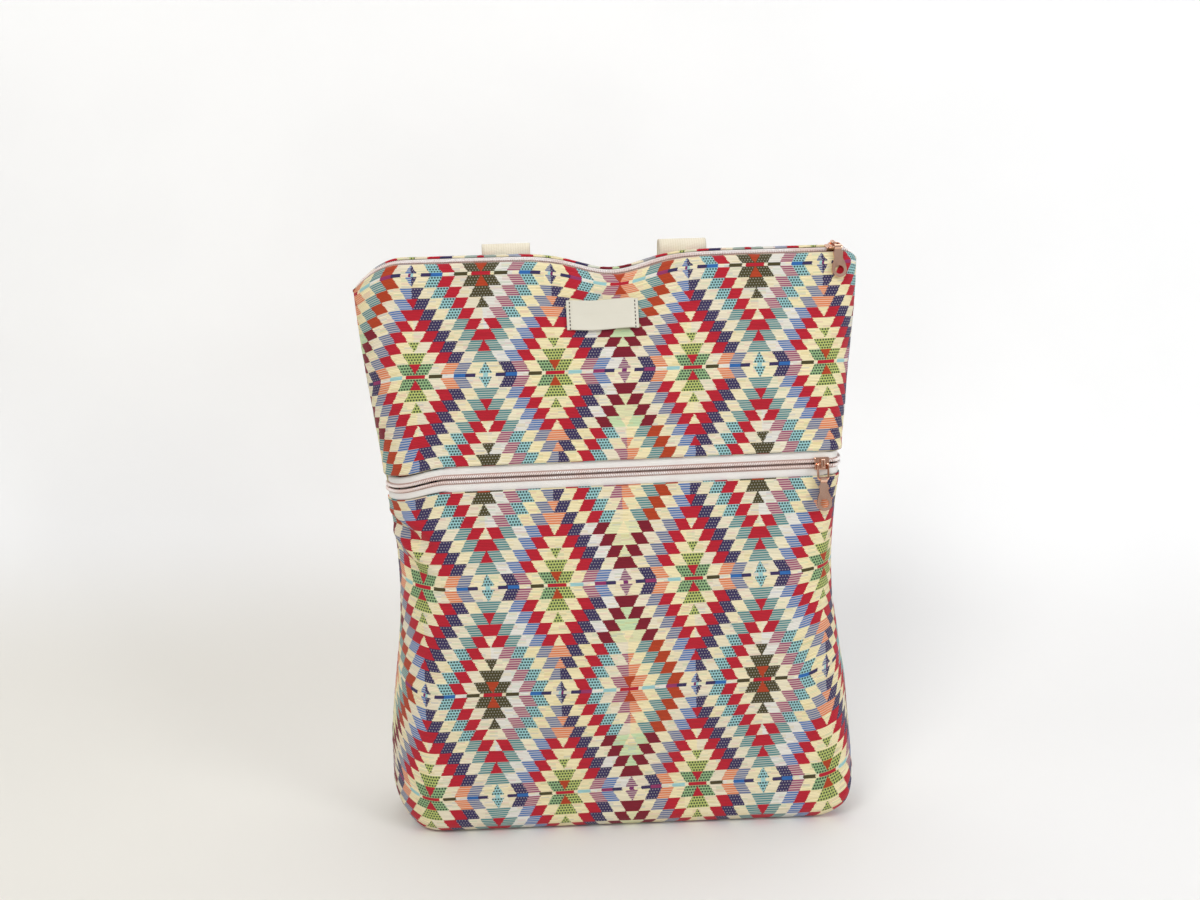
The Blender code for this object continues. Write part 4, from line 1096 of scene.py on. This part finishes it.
def lower_run(start):
    along = run_direction()
    ring = Vector((RUN_END_X, run_plane(), RUN_END_Z))
    run = (ring - start).length
    wrap = RING_WIRE + GAP + WEBBING / 2
    middle = (RUN_TOP_Z - ADJUSTER_Z) / -along.z
    weave = ADJUSTER_PLATE / 2 + GAP + WEBBING / 2
    reach = ADJUSTER_BAR / 2 + ADJUSTER_SLOT
    spots = [
        (middle - reach - 0.012, 0.0), (middle - reach - 0.003, weave), (middle - reach + 0.0008, weave),
        (middle - ADJUSTER_BAR / 2 - 0.0008, -weave), (middle + ADJUSTER_BAR / 2 + 0.0008, -weave),
        (middle + reach - 0.0008, weave), (middle + reach + 0.003, weave), (middle + reach + 0.012, wrap * 0.5),
        (run - 0.012, wrap),
    ]
    run_spots = [start + along * distance + Vector((0, lift, 0)) for distance, lift in spots]
    return run_spots + hairpin(ring, along, wrap, LOOP_TAIL)


def tab_path():
    along = -run_direction()
    bar = Vector((RUN_END_X, run_plane(), RUN_END_Z)) - along * RING_HEIGHT
    arc = hairpin(bar, along, RING_WIRE + GAP + WEBBING / 2, 0.0)[:7]
    sewn_y = BACK_BELLY + GAP + WEBBING / 2
    foot = arc[-1] - along * TAB_FREE
    foot.y = sewn_y
    low = foot - along * TAB_SEWN
    outer_y = sewn_y + WEBBING + GAP
    outer = [Vector((low.x, outer_y, low.z)), Vector((foot.x, outer_y + 0.0004, foot.z))]
    return outer + [arc[0] - along * TAB_FREE * 0.3] + arc + [foot, low]


def smoothed(path, spacing):
    """The same line with more points: each stretch is a cubic that meets its neighbours smoothly."""
    fine, sources = [], []
    for index in range(len(path) - 1):
        first, second = path[index], path[index + 1]
        length = (second - first).length
        before, after = path[max(index - 1, 0)], path[min(index + 2, len(path) - 1)]
        into = (second - before).normalized() * length
        out = (after - first).normalized() * length
        count = max(1, round(length / spacing))
        for step in range(count):
            t = step / count
            point = first * (2 * t**3 - 3 * t**2 + 1) + into * (t**3 - 2 * t**2 + t)
            fine.append(point + second * (3 * t**2 - 2 * t**3) + out * (t**3 - t**2))
            sources.append(index + t)
    return fine + [path[-1]], sources + [len(path) - 1.0]


def make_band(name, node, path, mirror, material):
    slanted = run_direction()
    sideways = []
    for index, point in enumerate(path):
        along = (path[min(index + 1, len(path) - 1)] - path[max(index - 1, 0)]).normalized()
        turned = smooth_step(RUN_TOP_Z + 0.12 - point.z, 0.0, 0.12)
        level = Vector((1, 0, 0)) * (1 - turned) + Vector((-slanted.z, 0, slanted.x)) * turned
        sideways.append((level - along * level.dot(along)).normalized())
    fine, sources = smoothed(path, 0.0022)
    lengths = arc_lengths(fine, 0)
    columns = steps(-0.5, 0.5, 12)
    places, uvs = [], []
    for point, source, length in zip(fine, sources, lengths):
        index = min(int(source), len(path) - 2)
        share = source - index
        level = (sideways[index] * (1 - share) + sideways[index + 1] * share).normalized()
        shift = STRAP_SHIFT * smooth_step(point.z, RUN_TOP_Z, STRAP_SEWN_Z)
        row = []
        for across in columns:
            spot = point + level * across * WEBBING_WIDTH
            row.append(lean((spot.x * mirror + shift, spot.y, spot.z)))
        places.append(row)
        uvs.append([(length, across * WEBBING_WIDTH) for across in columns])
    obj = add_object(name, grid_mesh(places, uvs), material)
    solidify(obj, WEBBING * 0.9, 0.0)
    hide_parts(node)


def make_straps():
    webbing = woven_material("webbing", "F0E8D6", "D8CCB0", 0.0018, 0.0011)
    for word, mirror in (("left", -1), ("right", 1)):
        make_band(f"strap_{word}_webbing", f"strap_{word}", strap_path(), mirror, webbing)
        make_band(f"strap_tab_{word}_webbing", f"strap_tab_{word}", tab_path(), mirror, webbing)


# Linings and metal keep their CAD shapes


def make_lining(node, material):
    """The same sack with rounder turns. It can be seen only with a zip open."""
    source = frame["nodes"][node]
    obj = bpy.data.objects.new(node + "_cotton", source.data.copy())
    bpy.context.scene.collection.objects.link(obj)
    obj.data.materials.clear()
    obj.data.materials.append(material)
    smooth = obj.modifiers.new("smooth", "SUBSURF")
    smooth.levels = smooth.render_levels = 1
    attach(obj, "bag")
    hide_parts(node)
    return obj


def dress_metal():
    rose = metal_material()
    for name, node in frame["nodes"].items():
        if any(word in name for word in ("slider", "bail", "pull", "adjuster", "ring_")):
            node.data.materials.clear()
            node.data.materials.append(rose)


# Studio

CAMERA_YAW, CAMERA_PITCH = math.radians(4.5), math.radians(9.0)
CAMERA_FAR, CAMERA_HIGH, CAMERA_AIM = 0.83, 0.413, -0.0078


def make_camera():
    data = bpy.data.cameras.new("camera")
    data.lens, data.sensor_width = 33.0, 36.0
    obj = bpy.data.objects.new("camera", data)
    bpy.context.scene.collection.objects.link(obj)
    place = (-CAMERA_FAR * math.sin(CAMERA_YAW) + CAMERA_AIM, -CAMERA_FAR * math.cos(CAMERA_YAW), CAMERA_HIGH)
    turn = Matrix.Rotation(-CAMERA_YAW, 4, "Z") @ Matrix.Rotation(math.radians(90) - CAMERA_PITCH, 4, "X")
    obj.matrix_world = Matrix.Translation(place) @ turn
    bpy.context.scene.camera = obj


def make_light(name, place, aim, size, power, colour):
    data = bpy.data.lights.new(name, "AREA")
    data.shape, data.size, data.energy, data.color = "DISK", size, power, colour
    obj = bpy.data.objects.new(name, data)
    bpy.context.scene.collection.objects.link(obj)
    obj.location = place
    obj.rotation_euler = (Vector(aim) - Vector(place)).to_track_quat("-Z", "Y").to_euler()


def make_studio():
    make_camera()
    material, s, shader = new_material("studio", 0.75)
    position = s.node("ShaderNodeTexCoord").outputs["Object"]
    tone = s.mix(s.blend(s.noise(position, 4.0), 0.3, 0.7), srgb("F7F7F6"), srgb("FAFAF9"))
    apart = s.node("ShaderNodeSeparateXYZ")
    s.join(apart.inputs[0], position)
    # painted shade: the floor is darker than the wall, and darker again towards the left
    shaded_floor = s.mix(s.blend(apart.outputs[0], -0.45, 0.35, 0.0, 1.0), srgb("E4E1D9"), srgb("EEEDEB"))
    tone = s.mix(s.blend(apart.outputs[2], 0.01, 0.15), shaded_floor, tone)
    s.join(shader.inputs["Base Color"], tone)
    profile = [(-2.5, 0.0), (0.12, 0.0)]
    profile += [(0.12 + 0.32 * math.sin(a), 0.32 * (1 - math.cos(a))) for a in steps(0.1, math.pi / 2, 14)]
    profile.append((0.50, 4.0))
    places = [[Vector((x, y, z)) for x in (-4.0, 0.0, 4.0)] for y, z in profile]
    mesh = grid_mesh(places, [[(0.0, 0.0)] * 3 for _ in places])
    data = bpy.data.meshes.new("sweep")
    mesh.to_mesh(data)
    mesh.free()
    data.materials.append(material)
    data.shade_smooth()
    sweep = bpy.data.objects.new("sweep", data)
    bpy.context.scene.collection.objects.link(sweep)
    make_light("key", (-0.9, -1.5, 1.7), (0, 0, 0.2), 0.9, 19, (1.0, 0.985, 0.96))
    make_light("fill", (1.5, -1.3, 1.0), (0, 0, 0.2), 0.8, 13, (0.97, 0.985, 1.0))
    make_light("top", (0.1, 0.3, 2.1), (0, 0, 0.2), 1.2, 7, (1.0, 1.0, 1.0))
    world = bpy.data.worlds.new("world")
    world.use_nodes = True
    world.node_tree.nodes["Background"].inputs[0].default_value = (0.95, 0.96, 1.0, 1.0)
    world.node_tree.nodes["Background"].inputs[1].default_value = 0.50
    bpy.context.scene.world = world
    bpy.context.scene.view_settings.view_transform = "Standard"


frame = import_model()
make_studio()
make_cloth(kilim_group())
make_zips()
make_label()
make_straps()
cotton = cotton_material("lining_cotton", "DCD5C6")
make_lining("main_lining", cotton)
make_lining("pocket_lining", cotton)
dress_metal()
